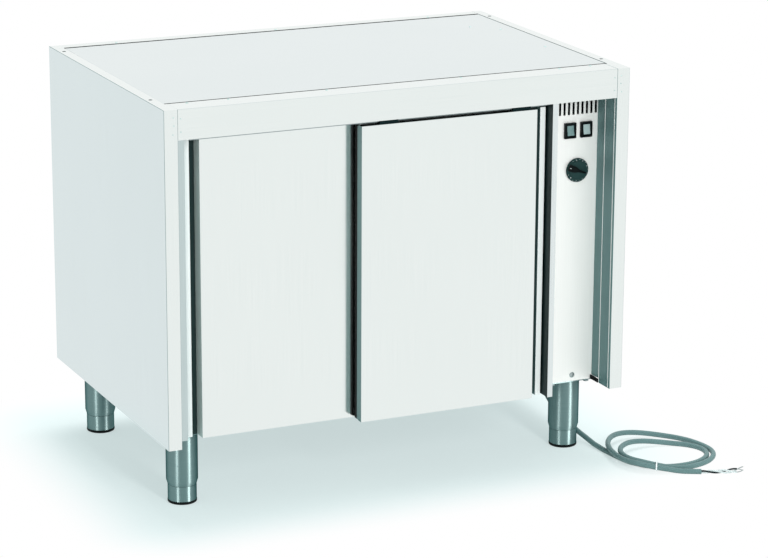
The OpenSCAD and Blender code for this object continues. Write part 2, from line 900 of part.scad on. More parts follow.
// Bracket under the base with one block for each door's channel
module door_guide() {
    arm_low = -guide_drop - guide_t;
    reach_front = door_recess + channel_set + guide_clear;
    half = guide_shift + guide_len / 2;
    block_t = channel_w - 2 * guide_clear;
    color(nylon) {
        slab([guide_mid - half, reach_front, arm_low], [guide_mid + half, base_front, -guide_drop]);
        slab([guide_mid - half, base_front, arm_low], [guide_mid + half, base_front + 30, 0]);
        for (side = [[-guide_shift, door_recess], [guide_shift, rear_door_y]])
            slab(
                [guide_mid + side[0] - guide_len / 2, side[1] + channel_set + guide_clear, -guide_drop],
                [
                    guide_mid + side[0] + guide_len / 2,
                    side[1] + channel_set + guide_clear + block_t,
                    guide_block_h
                ]
            );
    }
}

// Controls

module control_panel() {
    flange_x = post_x + sheet_t;
    low_x = control_mid - switch_pitch / 2;
    vent_x = control_mid - (vent_n - 1) / 2 * vent_pitch - vent_w / 2;
    color(steel) difference() {
        union() {
            slab([bay_x, control_recess, 0], [flange_x + sheet_t, panel_back, ceiling_z]);
            slab(
                [flange_x, post_return - control_tuck, control_notch],
                [flange_x + sheet_t, panel_back, ceiling_z]
            );
            slab(
                [bay_x, control_recess, base_h + 1],
                [bay_x + sheet_t, panel_back + control_lip, ceiling_z]
            );
        }
        for (i = [0:vent_n - 1])
            slab(
                [vent_x + i * vent_pitch, control_recess - 1, vent_z],
                [vent_x + i * vent_pitch + vent_w, panel_back + 1, vent_z + vent_h]
            );
        for (x = [low_x, low_x + switch_pitch])
            slab(
                [x - body_w / 2 - cutout_clear, control_recess - 1, switch_z - body_h / 2 - cutout_clear],
                [x + body_w / 2 + cutout_clear, panel_back + 1, switch_z + body_h / 2 + cutout_clear]
            );
        rod_y([control_mid, control_recess - 1, knob_z], bush_d + 2 * cutout_clear, sheet_t + 2);
        rod_y([control_mid, control_recess - 1, screw_z], screw_shank_d + 2 * cutout_clear, sheet_t + 2);
    }
}

// Slotted screw with a domed head
module panel_screw() {
    rise = screw_d / 3.5;
    ball_r = (pow(screw_d / 2, 2) + pow(rise, 2)) / (2 * rise);
    slot_w = screw_d / 7;
    color(steel_shade) {
        in_cabinet([control_mid, control_recess, screw_z]) rotate([90, 0, 0]) difference() {
            intersection() {
                translate([0, 0, rise - ball_r]) sphere(r = ball_r);
                cylinder(d = screw_d, h = rise);
            }
            rotate([0, 0, 75]) translate([-screw_d, -slot_w / 2, rise / 2])
                cube([2 * screw_d, slot_w, rise]);
        }
        rod_y([control_mid, control_recess, screw_z], screw_shank_d, screw_len);
    }
}

// Switch housing: bezel on the panel and body behind it, with the rocker's cavity
module switch_housing(x) {
    color(black) difference() {
        union() {
            slab(
                [x - switch_w / 2, control_recess - bezel_t, switch_z - switch_h / 2],
                [x + switch_w / 2, control_recess, switch_z + switch_h / 2]
            );
            slab(
                [x - body_w / 2, control_recess - 1, switch_z - body_h / 2],
                [x + body_w / 2, control_recess + switch_depth, switch_z + body_h / 2]
            );
        }
        slab(
            [x - mouth_w / 2, control_recess - bezel_t - 1, switch_z - mouth_h / 2],
            [x + mouth_w / 2, control_recess + cavity_depth, switch_z + mouth_h / 2]
        );
        rod_x([x - switch_w / 2, rocker_pivot_y, switch_z], pivot_d + 2 * round_clear, switch_w);
    }
}

// Rocker with a dished face, tipped so that its upper half is pressed in
module rocker(x, tint) {
    half = rocker_h / 2;
    outline = [
        [-rocker_face, -half], [rocker_dip - rocker_face, 0], [-rocker_face, half],
        [rocker_back, half - 2], [rocker_back, 2 - half]
    ];
    color(tint) {
        in_cabinet([x - rocker_w / 2, rocker_pivot_y, switch_z]) rotate([-rocker_tilt, 0, 0])
            rotate([90, 0, 90]) linear_extrude(rocker_w) polygon(outline);
        rod_x(
            [x - mouth_w / 2 - pivot_seat, rocker_pivot_y, switch_z],
            pivot_d,
            mouth_w + 2 * pivot_seat
        );
    }
}

module left_switch() {
    switch_housing(control_mid - switch_pitch / 2);
}

module left_rocker() {
    rocker(control_mid - switch_pitch / 2, rocker_grey);
}

module right_switch() {
    switch_housing(control_mid + switch_pitch / 2);
}

module right_rocker() {
    rocker(control_mid + switch_pitch / 2, steel_shade);
}

// Thermostat body behind the panel, with the bush that its spindle turns in
module thermostat() {
    color(nylon) difference() {
        union() {
            slab(
                [control_mid - thermostat_w / 2, panel_back, knob_z - thermostat_h / 2],
                [control_mid + thermostat_w / 2, panel_back + thermostat_t, knob_z + thermostat_h / 2]
            );
            rod_y([control_mid, control_recess, knob_z], bush_d, sheet_t + 1);
        }
        rod_y(
            [control_mid, control_recess - 1, knob_z],
            spindle_d + 2 * round_clear,
            sheet_t + spindle_reach + 2
        );
    }
}

// Sensing bulb in two clips on the partition's chamber face
module thermostat_bulb() {
    clip_t = 8;
    color(steel_shade) {
        rod_y([partition_x - bulb_off, bulb_y, bulb_z], bulb_d, bulb_len);
        for (y = [bulb_y + clip_t, bulb_y + bulb_len - 2 * clip_t])
            slab(
                [partition_x - bulb_off, y, bulb_z - bulb_d / 2 - 1],
                [partition_x, y + clip_t, bulb_z + bulb_d / 2 + 1]
            );
    }
}

// Knob: skirt, raised middle and grip bar, with the spindle that it turns
module knob() {
    bar_len = knob_d - 8;
    middle_d = knob_d - 10;
    color(black) in_cabinet([control_mid, control_recess - knob_gap, knob_z]) rotate([90, 0, 0]) {
        cylinder(d = knob_d, h = knob_skirt);
        cylinder(d = middle_d, h = knob_skirt + 2);
        rotate([0, 0, -20]) intersection() {
            translate([-bar_len / 2, -grip_w / 2, 0]) cube([bar_len, grip_w, knob_h]);
            cylinder(d = bar_len, h = knob_h);
        }
        translate([0, 0, -knob_gap - sheet_t - spindle_reach])
            cylinder(d = spindle_d, h = spindle_reach + sheet_t + knob_gap + knob_skirt);
    }
}

// Heater unit

// Open-fronted box on the partition's bay face, round the fan and the heater ring
module heater_box() {
    half = heater_box_s / 2;
    low = [bay_x, fan_y - half, fan_z - half];
    high = [box_out, fan_y + half, fan_z + half];
    color(galvanised) difference() {
        slab(low, high);
        slab(low + [-1, sheet_t, sheet_t], high - [sheet_t, sheet_t, sheet_t]);
        rod_x([box_out - 5, fan_y, fan_z], shaft_d + 2 * shaft_clear, 10);
        for (side = [-1, 1])
            rod_x(
                [box_out - 5, fan_y + side * terminal_gap / 2, terminal_z],
                terminal_d + 2 * round_clear,
                10
            );
    }
}

// Height of the heater ring's terminals
terminal_z = fan_z - sqrt(pow(ring_d / 2, 2) - pow(terminal_gap / 2, 2));

module heater_ring() {
    color(steel_shade) {
        in_cabinet([ring_x, fan_y, fan_z]) rotate([0, 90, 0])
            rotate_extrude() translate([ring_d / 2, 0]) circle(d = heater_tube_d);
        for (side = [-1, 1])
            rod_x(
                [ring_x, fan_y + side * terminal_gap / 2, terminal_z],
                terminal_d,
                box_out - ring_x + terminal_len
            );
    }
}

module fan_motor() {
    flange_d = motor_d + 10;
    color(galvanised) difference() {
        union() {
            rod_x([box_out, fan_y, fan_z], flange_d, motor_flange_t);
            rod_x([box_out, fan_y, fan_z], motor_d, motor_len);
        }
        rod_x([box_out - 1, fan_y, fan_z], shaft_d + 2 * round_clear, shaft_reach + 2);
    }
}

// Bladed wheel with its shaft
module fan_impeller() {
    hub_d = 28;
    eye_d = impeller_d * 0.56;
    blade_t = 1.2;
    front_x = impeller_back - impeller_w;
    blade_len = (impeller_d - eye_d) / 2 - 1;
    color(steel) {
        rod_x([impeller_back, fan_y, fan_z], impeller_d, blade_t);
        rod_x([front_x + 10, fan_y, fan_z], hub_d, impeller_w - 10);
        rod_x([impeller_back, fan_y, fan_z], shaft_d, box_out - impeller_back + shaft_reach);
        difference() {
            rod_x([front_x, fan_y, fan_z], impeller_d, blade_t);
            rod_x([front_x - 1, fan_y, fan_z], eye_d, blade_t + 2);
        }
        in_cabinet([front_x, fan_y, fan_z]) for (i = [0:blade_n - 1])
            rotate([360 * i / blade_n, 0, 0])
                translate([0, -blade_t / 2, eye_d / 2]) cube([impeller_w, blade_t, blade_len]);
    }
}

module terminal_block() {
    low = [control_mid - 30, gland_y + 45, pan_t];
    size = [60, 28, 22];
    color(nylon) difference() {
        slab(low, low + size);
        for (i = [0:4])
            in_cabinet(low + [6 + 12 * i, size[1] / 2, size[2] - 8]) cylinder(d = 6, h = 10);
    }
}

// Legs

// Axes of the legs on the floor: front left, front right, rear left, rear right
leg_at = [
    for (y = [leg_front, cabinet_d - leg_rear])
        for (x = [leg_x, cabinet_w - leg_x])
            [x - cabinet_w / 2, y - cabinet_d / 2, 0]
];

// Leg: plate, tube with a swaged lower end and the threaded plug inside
module leg(i) {
    r = leg_d / 2;
    inner = r - leg_wall;
    neck = foot_d / 2 + 0.2;
    bore = foot_spindle_d / 2 + round_clear;
    low = foot_h + round_clear;
    knee = low + shoulder_h;
    tube_end = tube_top + plate_t / 2;
    outline = [
        [neck, low], [r, knee], [r, tube_end], [inner, tube_end], [inner, plug_z + plug_h],
        [bore, plug_z + plug_h], [bore, plug_z], [inner, plug_z], [inner, knee], [neck - leg_wall, low]
    ];
    color(steel_shade) translate(leg_at[i]) {
        rotate_extrude() polygon(outline);
        translate([-plate_w / 2, -plate_d / 2, tube_top]) cube([plate_w, plate_d, plate_t]);
    }
}

// Foot: hollow cup on the pad, and its threaded spindle
module foot(i) {
    r = foot_d / 2;
    wall = 2;
    stem = foot_spindle_d / 2;
    outline = [
        [r - wall, pad_t], [r, pad_t], [r, foot_h - 1], [r - 1, foot_h], [stem, foot_h],
        [stem, foot_spindle_top], [0, foot_spindle_top], [0, foot_h - wall], [r - wall, foot_h - wall]
    ];
    color(steel_shade) translate(leg_at[i]) rotate_extrude() polygon(outline);
}

module pad(i) {
    color(black) translate(leg_at[i]) cylinder(d = foot_d + 0.6, h = pad_t);
}

module leg_bolts() {
    color(galvanised) for (p = leg_at, sx = [-1, 1], sy = [-1, 1])
        translate(p + [sx * bolt_x, sy * bolt_y, tube_top - bolt_head_h])
            cylinder(d = bolt_head_d, h = bolt_head_h, $fn = 6);
}

module leg_front_left() { leg(0); }
module leg_front_right() { leg(1); }
module leg_rear_left() { leg(2); }
module leg_rear_right() { leg(3); }
module foot_front_left() { foot(0); }
module foot_front_right() { foot(1); }
module foot_rear_left() { foot(2); }
module foot_rear_right() { foot(3); }
module pad_front_left() { pad(0); }
module pad_front_right() { pad(1); }
module pad_rear_left() { pad(2); }
module pad_rear_right() { pad(3); }

// Cord

// Gland through the base pan: thread, body and tapered nut over the cord
module cord_gland() {
    body_h = gland_h / 2;
    color(black) translate([gland_at[0], gland_at[1], 0]) {
        translate([0, 0, leg_h - body_h]) cylinder(d = gland_d, h = body_h);
        translate([0, 0, gland_exit]) cylinder(d1 = cord_d + 4, d2 = gland_d - 2, h = gland_h - body_h);
        translate([0, 0, leg_h]) cylinder(d = gland_d - 4, h = pan_t);
        translate([0, 0, leg_h + pan_t]) cylinder(d = gland_d, h = 6);
    }
}

module cord_lead() {
    color(cord_grey) tube(lead_path, cord_r, 10, [1, 0, 0]);
}

module cord_coil() {
    color(cord_grey) tube(coil_path, cord_r, 6, [0, 0, 1]);
}

// Band round three strands, drawn square to them
module tie_band(grow) {
    hull() for (p = tie_strands)
        translate([(p - tie_strands[0]) * [-sin(tie_angle), cos(tie_angle), 0], p[2]])
            circle(r = cord_r + grow, $fn = 32);
}

module cord_tie() {
    slack = 0.7;
    color("white") translate([tie_strands[0][0], tie_strands[0][1], 0]) rotate([0, 0, tie_angle])
        rotate([90, 0, 90]) translate([0, 0, -tie_w / 2]) linear_extrude(tie_w) intersection() {
            difference() {
                tie_band(slack + tie_t);
                tie_band(slack);
            }
            translate([-10 * cord_d, 0]) square([20 * cord_d, 10 * cord_d]);
        }
}

// Path of one bare core: straight out of the sheath, then twisted round the others
function core_path(i) =
    let (
        side = unit(cross([0, 0, 1], cord_end_dir)),
        reach = core_d * 0.62
    )
    [
        for (s = [0:core_rings])
            let (
                f = max(0, s - 1) / (core_rings - 1),
                turn = 120 * i + core_twist * f,
                spread = reach * (1 + 1.2 * f * f)
            )
            cord_end + core_route_len * s / core_rings * cord_end_dir
                + spread * (cos(turn) * side + [0, 0, sin(turn) + 0.35 * f])
    ];

module cord_cores() {
    color(steel_shade) for (i = [0:2]) tube(core_path(i), core_d / 2, 8, [0, 0, 1]);
}

left_side_panel();
right_side_panel();
fascia();
rear_panel();
roof_panel();
roof_rivets();
left_jamb();
left_liner();
rear_liner();
partition();
ceiling();
chamber_floor();
base_pan();
insulation();
door_track();
door_guide();
shelf();
shelf_brackets();
left_door_skin();
left_door_liner();
left_door_hangers();
left_roller_outer();
left_roller_inner();
right_door_skin();
right_door_liner();
right_door_hangers();
right_roller_outer();
right_roller_inner();
control_panel();
panel_screw();
left_switch();
left_rocker();
right_switch();
right_rocker();
thermostat();
thermostat_bulb();
knob();
heater_box();
heater_ring();
fan_motor();
fan_impeller();
terminal_block();
leg_front_left();
leg_front_right();
leg_rear_left();
leg_rear_right();
leg_bolts();
foot_front_left();
foot_front_right();
foot_rear_left();
foot_rear_right();
pad_front_left();
pad_front_right();
pad_rear_left();
pad_rear_right();
cord_gland();
cord_lead();
cord_coil();
cord_tie();
cord_cores();
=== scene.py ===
"""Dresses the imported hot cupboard: sheet finishes, controls, supply cord, floor, light and camera."""

import json
import logging
import math
from dataclasses import dataclass
from enum import Enum
from typing import Any, Callable, Optional, Sequence

import bmesh
import bpy
from mathutils import Matrix, Vector


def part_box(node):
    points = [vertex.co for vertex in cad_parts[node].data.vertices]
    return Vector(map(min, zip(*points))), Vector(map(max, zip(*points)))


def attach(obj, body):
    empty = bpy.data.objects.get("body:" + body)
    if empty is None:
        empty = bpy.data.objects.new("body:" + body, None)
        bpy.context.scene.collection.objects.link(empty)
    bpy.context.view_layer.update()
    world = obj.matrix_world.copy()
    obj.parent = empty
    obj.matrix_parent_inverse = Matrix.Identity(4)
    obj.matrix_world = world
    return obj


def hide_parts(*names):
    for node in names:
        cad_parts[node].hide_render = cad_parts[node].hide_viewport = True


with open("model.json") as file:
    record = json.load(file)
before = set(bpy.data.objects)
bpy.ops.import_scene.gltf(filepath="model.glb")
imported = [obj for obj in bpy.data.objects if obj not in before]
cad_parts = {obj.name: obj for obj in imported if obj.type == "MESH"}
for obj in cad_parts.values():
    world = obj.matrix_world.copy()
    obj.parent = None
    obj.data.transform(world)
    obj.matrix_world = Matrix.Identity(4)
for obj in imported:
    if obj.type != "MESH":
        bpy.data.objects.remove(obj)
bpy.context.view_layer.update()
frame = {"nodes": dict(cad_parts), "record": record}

MM = 0.001
WHITE = "#FFFFFF"
UNMOVED = Matrix.Identity(4)
QUARTER_TURN = math.pi / 2
# Share of a face's normal along an axis: square to it, facing it, leaning to it and just turned to it.
SQUARE = 0.95
FACING = 0.7
LEANING = 0.3
TURNED = 0.2
# Angle over which an edge of sheet counts as sharp, in degrees, and the reach of a weld, in metres.
SHARP = 50.0
WELD = 2e-6
# Centreline of the cord from the gland over the floor to the coil, in millimetres.
LEAD_ROUTE = (
    (440, -91, 107), (442, -99, 90), (446, -112, 74), (449, -129, 60), (453, -146, 49),
    (458, -162, 39), (463, -178, 31), (467, -194, 24), (471, -212, 18), (474, -230, 14),
    (476, -249, 10.5), (477, -268, 8), (479, -287, 6.5), (481, -306, 5.5), (483, -326, 5.5),
    (485, -347, 5.5), (488, -369, 5.5),
)
# Outline of a flush rivet head, as radius and height in millimetres.
RIVET_HEAD = ((0, -0.6), (1.4, -0.6), (1.4, 0.1), (1.1, 0.3), (0.6, 0.4), (0, 0.45))

Pair = tuple[float, float]
Triple = tuple[float, float, float]
FaceTest = Callable[[Vector, Vector], bool]
Piece = bpy.types.Object
Material = bpy.types.Material
Tree = bpy.types.NodeTree
Socket = bpy.types.NodeSocket
Shape = bmesh.types.BMesh
log = logging.getLogger("hot_cupboard")


def linear(code: str) -> tuple[float, float, float, float]:
    """Turns an sRGB hex colour into linear light.

    Args:
        code: Colour such as "#DDE4E4".

    Returns:
        Red, green, blue and an alpha of one.
    """
    parts = [int(code[i:i + 2], 16) / 255 for i in (1, 3, 5)]
    light = [c / 12.92 if c <= 0.04045 else ((c + 0.055) / 1.055) ** 2.4 for c in parts]
    return (light[0], light[1], light[2], 1.0)


def add_node(
    tree: Tree, kind: str, inputs: Optional[dict[Any, Any]] = None, **settings: Any
) -> bpy.types.Node:
    """Adds one shader node with its values, links and settings.

    Args:
        tree: Node tree that takes the node.
        kind: Blender's name of the node type.
        inputs: Values or output sockets, by the input's name or number.
        settings: Attributes to set on the node.

    Returns:
        The new node.
    """
    node = tree.nodes.new(kind)
    for key, value in settings.items():
        setattr(node, key, value)
    for key, value in (inputs or {}).items():
        if isinstance(value, Socket):
            tree.links.new(value, node.inputs[key])
        else:
            node.inputs[key].default_value = value
    return node


def blank_material(name: str) -> tuple[Material, Tree]:
    """Makes a material with an empty node tree.

    Args:
        name: Name of the real material and how it was made.

    Returns:
        The material and its tree.
    """
    material = bpy.data.materials.new(name)
    material.use_nodes = True
    material.node_tree.nodes.clear()
    return material, material.node_tree


class Grain(Enum):
    """Direction that a sheet or tube was brushed in."""

    ALONG_X = (1, 0, 0)
    ALONG_Y = (0, 1, 0)
    ALONG_Z = (0, 0, 1)
    ROUND_Z = (1, 1, 0)


@dataclass(frozen=True)
class BrushedStainless:
    """Cold-rolled stainless steel, belt brushed: pale, soft reflections broken by fine parallel lines."""

    name: str
    tone: str = "#EBF1EF"
    shade: str = "#E7EEEC"
    grain: Grain = Grain.ALONG_Z
    roughness: float = 0.14
    metallic: float = 1.0
    line_mm: float = 0.9
    run_mm: float = 180.0
    line_depth_mm: float = 0.4
    line_span: Pair = (0.32, 0.68)
    line_rough: float = 0.03
    lines: float = 0.012
    haze_mm: float = 260.0
    haze_span: Pair = (0.35, 0.65)
    haze_rough: Pair = (-0.02, 0.03)
    streak: float = 0.0
    # Tint of reflections at grazing angles; a dark tint paints darker edges, as on the leg tubes.
    rim: str = WHITE

    def material(self) -> Material:
        """Builds the material; real brush lines are near 0.1 mm and are drawn coarser so that they show.

        Returns:
            The finished material.
        """
        material, tree = blank_material(self.name)
        across = 1 / (self.line_mm * MM)
        along = 1 / (self.run_mm * MM)
        scale = [along if axis else across for axis in self.grain.value]
        place = add_node(tree, "ShaderNodeTexCoord").outputs["Object"]
        drawn = add_node(tree, "ShaderNodeMapping", {"Vector": place, "Scale": scale})
        brush = add_node(
            tree,
            "ShaderNodeTexNoise",
            {"Vector": drawn.outputs[0], "Scale": 1.0, "Detail": 3.0, "Roughness": 0.6},
        )
        haze = add_node(
            tree,
            "ShaderNodeTexNoise",
            {"Vector": place, "Scale": 1 / (self.haze_mm * MM), "Detail": 2.0},
        )
        spread = add_node(
            tree,
            "ShaderNodeMapRange",
            {"Value": brush.outputs[0], "From Min": self.line_span[0], "From Max": self.line_span[1]},
        )
        tint = add_node(
            tree,
            "ShaderNodeMix",
            {0: spread.outputs[0], 6: linear(self.shade), 7: linear(self.tone)},
            data_type="RGBA",
        )
        soft = add_node(
            tree,
            "ShaderNodeMapRange",
            {
                "Value": haze.outputs[0],
                "From Min": self.haze_span[0],
                "From Max": self.haze_span[1],
                "To Min": self.roughness + self.haze_rough[0],
                "To Max": self.roughness + self.haze_rough[1],
            },
        )
        fine = add_node(
            tree,
            "ShaderNodeMath",
            {0: spread.outputs[0], 1: self.line_rough, 2: soft.outputs[0]},
            operation="MULTIPLY_ADD",
        )
        relief = add_node(
            tree,
            "ShaderNodeBump",
            {"Strength": self.lines, "Distance": self.line_depth_mm * MM, "Height": brush.outputs[0]},
        )
        surface = {
            "Base Color": tint.outputs[2],
            "Metallic": self.metallic,
            "Roughness": fine.outputs[0],
            "Normal": relief.outputs[0],
            "Specular Tint": linear(self.rim),
            "Anisotropic": self.streak,
            "Anisotropic Rotation": 0.25,
        }
        if self.streak:
            ring = add_node(tree, "ShaderNodeTangent", direction_type="RADIAL", axis="Z")
            surface["Tangent"] = ring.outputs[0]
        shader = add_node(tree, "ShaderNodeBsdfPrincipled", surface)
        add_node(tree, "ShaderNodeOutputMaterial", {"Surface": shader.outputs[0]})
        return material


@dataclass(frozen=True)
class ZincPlate:
    """Zinc-plated mild steel, passivated: a dull blue-grey with faint crystal patches."""

    name: str
    tone: str = "#AEBABB"
    shade: str = "#94A2A4"
    crystal_mm: float = 9.0
    crystal_rough: Pair = (-0.05, 0.06)
    roughness: float = 0.46

    def material(self) -> Material:
        """Builds the material.

        Returns:
            The finished material.
        """
        material, tree = blank_material(self.name)
        place = add_node(tree, "ShaderNodeTexCoord").outputs["Object"]
        crystal = add_node(
            tree, "ShaderNodeTexVoronoi", {"Vector": place, "Scale": 1 / (self.crystal_mm * MM)}
        )
        grey = add_node(tree, "ShaderNodeRGBToBW", {0: crystal.outputs["Color"]})
        tint = add_node(
            tree,
            "ShaderNodeMix",
            {0: grey.outputs[0], 6: linear(self.shade), 7: linear(self.tone)},
            data_type="RGBA",
        )
        rough = add_node(
            tree,
            "ShaderNodeMapRange",
            {
                "Value": grey.outputs[0],
                "To Min": self.roughness + self.crystal_rough[0],
                "To Max": self.roughness + self.crystal_rough[1],
            },
        )
        shader = add_node(
            tree,
            "ShaderNodeBsdfPrincipled",
            {"Base Color": tint.outputs[2], "Metallic": 1.0, "Roughness": rough.outputs[0]},
        )
        add_node(tree, "ShaderNodeOutputMaterial", {"Surface": shader.outputs[0]})
        return material


@dataclass(frozen=True)
class Moulded:
    """Moulded or extruded plastic or rubber: one colour with a fine grit and slightly uneven gloss."""

    name: str
    tone: str
    shade: str
    roughness: float = 0.42
    grit_mm: float = 0.9
    cloud_mm: float = 14.0
    cloud_span: Pair = (0.3, 0.7)
    cloud_rough: Pair = (-0.06, 0.08)
    relief: float = 0.12
    relief_mm: float = 0.3
    ior: float = 1.5

    def material(self) -> Material:
        """Builds the material.

        Returns:
            The finished material.
        """
        material, tree = blank_material(self.name)
        place = add_node(tree, "ShaderNodeTexCoord").outputs["Object"]
        grit = add_node(
            tree,
            "ShaderNodeTexNoise",
            {"Vector": place, "Scale": 1 / (self.grit_mm * MM), "Detail": 2.0},
        )
        cloud = add_node(
            tree,
            "ShaderNodeTexNoise",
            {"Vector": place, "Scale": 1 / (self.cloud_mm * MM), "Detail": 3.0},
        )
        tint = add_node(
            tree,
            "ShaderNodeMix",
            {0: cloud.outputs[0], 6: linear(self.shade), 7: linear(self.tone)},
            data_type="RGBA",
        )
        rough = add_node(
            tree,
            "ShaderNodeMapRange",
            {
                "Value": cloud.outputs[0],
                "From Min": self.cloud_span[0],
                "From Max": self.cloud_span[1],
                "To Min": self.roughness + self.cloud_rough[0],
                "To Max": self.roughness + self.cloud_rough[1],
            },
        )
        bump = add_node(
            tree,
            "ShaderNodeBump",
            {"Strength": self.relief, "Distance": self.relief_mm * MM, "Height": grit.outputs[0]},
        )
        shader = add_node(
            tree,
            "ShaderNodeBsdfPrincipled",
            {
                "Base Color": tint.outputs[2],
                "Roughness": rough.outputs[0],
                "IOR": self.ior,
                "Normal": bump.outputs[0],
            },
        )
        add_node(tree, "ShaderNodeOutputMaterial", {"Surface": shader.outputs[0]})
        return material


@dataclass(frozen=True)
class WoolSlab:
    """Mineral wool slab, felted from spun rock: yellow-brown, matt and fibrous."""

    name: str
    tone: str = "#CBB884"
    shade: str = "#A9935C"
    fibre_mm: float = 4.0
    roughness: float = 0.95

    def material(self) -> Material:
        """Builds the material.

        Returns:
            The finished material.
        """
        material, tree = blank_material(self.name)
        place = add_node(tree, "ShaderNodeTexCoord").outputs["Object"]
        fibre = add_node(
            tree,
            "ShaderNodeTexNoise",
            {"Vector": place, "Scale": 1 / (self.fibre_mm * MM), "Detail": 6.0, "Distortion": 1.5},
        )
        tint = add_node(
            tree,
            "ShaderNodeMix",
            {0: fibre.outputs[0], 6: linear(self.shade), 7: linear(self.tone)},
            data_type="RGBA",
        )
        shader = add_node(
            tree,
            "ShaderNodeBsdfPrincipled",
            {"Base Color": tint.outputs[2], "Roughness": self.roughness},
        )
        add_node(tree, "ShaderNodeOutputMaterial", {"Surface": shader.outputs[0]})
        return material


class Finishes:
    """One shared material for each finish of the cupboard; several are copies of the stainless with painted
    shade, and one with painted light.
    """

    def __init__(self) -> None:
        """Builds every finish once."""
        self.upright = BrushedStainless("stainless_sheet_brushed_upright").material()
        self.level = BrushedStainless("stainless_sheet_brushed_level", grain=Grain.ALONG_X).material()
        # Painted shade: a darker copy of the level stainless, so that the roof reads darker than the front.
        self.roof = BrushedStainless(
            "stainless_roof_brushed_painted_shade", "#DEE7E7", "#DAE3E3", grain=Grain.ALONG_X
        ).material()
        # Satin lacquer, partly diffuse; its tone is whiter and warmer than the sheet's, painted light that
        # brightens the recessed control panel and the post hems.
        self.satin = BrushedStainless(
            "stainless_sheet_satin_lacquer_painted_light", "#FFFCF9", "#FBF8F5", roughness=0.45, metallic=0.3
        ).material()
        self.deep = BrushedStainless("stainless_sheet_brushed_deep", grain=Grain.ALONG_Y).material()
        # Painted shade: a darker copy of the stainless for the side panels' outer faces, so that the sides
        # read darker than the front.
        self.side = BrushedStainless("stainless_sheet_brushed_painted_side_shade", "#D6E2E3", "#D2DEDF").material()
        self.inner = BrushedStainless(
            "stainless_liner_mill_finish", "#D3DADA", "#C6CFCF", roughness=0.4, metallic=0.5
        ).material()
        self.strip = BrushedStainless(
            "stainless_strip_brushed", "#E6EDED", "#DBE4E4", roughness=0.25
        ).material()
        # Painted shade: a darker copy of the stainless for the recessed left jamb and for the upper bends of
        # the fascia and doors.
        self.jamb = BrushedStainless(
            "stainless_jamb_and_bends_painted_shade", "#CAD8D8", "#BFCECE", roughness=0.3
        ).material()
        # Painted shade: a dark, partly diffuse copy of the stainless for bends, door ends, the carriers in
        # the door gap and the walls of the control bay.
        self.fold = BrushedStainless(
            "stainless_return_painted_shade", "#678888", "#5F8080", roughness=0.5, metallic=0.3
        ).material()
        # Painted shade: a teal-grey, partly diffuse copy of the stainless for the wall of the left door's
        # finger groove and for the rivet heads.
        self.cheek = BrushedStainless(
            "stainless_satin_painted_shade", "#C4D8D5", "#B8CDCA", roughness=0.5, metallic=0.3
        ).material()
        self.grip = BrushedStainless(
            "stainless_grip_strip_satin", "#EDF2F1", "#E6ECEB", roughness=0.5, metallic=0.3
        ).material()
        # Painted shade: a near-black copy of the stainless for groove bottoms, vent slot walls and faces deep
        # in gaps.
        self.groove = BrushedStainless(
            "stainless_groove_painted_deep_shade", "#14302F", "#0C2425", roughness=0.55, metallic=0.3
        ).material()
        # Painted reflection: the dark teal tone and the dark edge tint stand in for the dark surroundings
        # that the polished legs mirror; the bright streaks come from the lamps.
        self.tube = BrushedStainless(
            "stainless_tube_polished_painted_reflection",
            "#7E9A9A",
            "#759292",
            grain=Grain.ROUND_Z,
            roughness=0.42,
            line_mm=1.1,
            run_mm=90.0,
            streak=0.95,
            rim="#5A7070",
        ).material()
        self.turned = BrushedStainless(
            "stainless_fastener_turned", "#C2CCCC", "#93A2A2", roughness=0.28, line_mm=0.8, run_mm=6.0
        ).material()
        self.copper = BrushedStainless(
            "tinned_copper_stranded", "#C9D2D2", "#9CA9A9", roughness=0.3, line_mm=0.4, run_mm=5.0
        ).material()
        self.zinc = ZincPlate("mild_steel_zinc_plated").material()
        # Black-passivated zinc for the door hangers; its dark teal tone is also painted shade that sinks them
        # into the shade of the door-top gap.
        self.black_zinc = ZincPlate("mild_steel_black_zinc_and_painted_shade", "#1F3335", "#142527").material()
        self.wool = WoolSlab("mineral_wool_felted").material()
        self.nylon = Moulded("nylon_moulded", "#ECEBE2", "#DDDCD2", roughness=0.4).material()
        self.black = Moulded("abs_black_moulded", "#0A1314", "#050A0B", ior=1.2).material()
        self.charcoal = Moulded(
            "abs_charcoal_moulded", "#294241", "#1E3534", roughness=0.34, ior=1.2
        ).material()
        self.rocker_dark = Moulded(
            "abs_dark_grey_moulded", "#7C9796", "#6B8786", roughness=0.3, grit_mm=0.7
        ).material()
        self.rocker_pale = Moulded(
            "abs_mid_grey_moulded", "#AFC0BF", "#9DB0AF", roughness=0.28, grit_mm=0.7
        ).material()
        self.rubber = Moulded(
            "rubber_black_moulded", "#0D1314", "#070A0B", roughness=0.7, grit_mm=1.2, ior=1.25
        ).material()
        self.sheath = Moulded(
            "pvc_sheath_extruded",
            "#6B8888",
            "#597676",
            roughness=0.46,
            grit_mm=1.4,
            cloud_mm=45.0,
            relief=0.2,
        ).material()
        self.tie = Moulded("nylon_white_moulded", "#F4F6F6", "#E6EAEA", roughness=0.35).material()
        self.core_pale = Moulded("pvc_core_pale_extruded", "#DCE2E2", "#C5CDCD", roughness=0.4).material()
        self.core_dark = Moulded(
            "pvc_core_dark_extruded", "#1B2A2B", "#101C1D", roughness=0.5, ior=1.3
        ).material()
        self.ink = Moulded("white_ink_printed", "#F3F6F6", "#E2E7E7", roughness=0.5).material()


def link_object(name: str, data: bpy.types.ID, material: Material) -> Piece:
    """Adds an object with one material to the scene.

    Args:
        name: Name of the piece.
        data: Its mesh or curve.
        material: Its finish.

    Returns:
        The new object.
    """
    piece = bpy.data.objects.new(name, data)
    bpy.context.scene.collection.objects.link(piece)
    data.materials.clear()
    data.materials.append(material)
    return piece


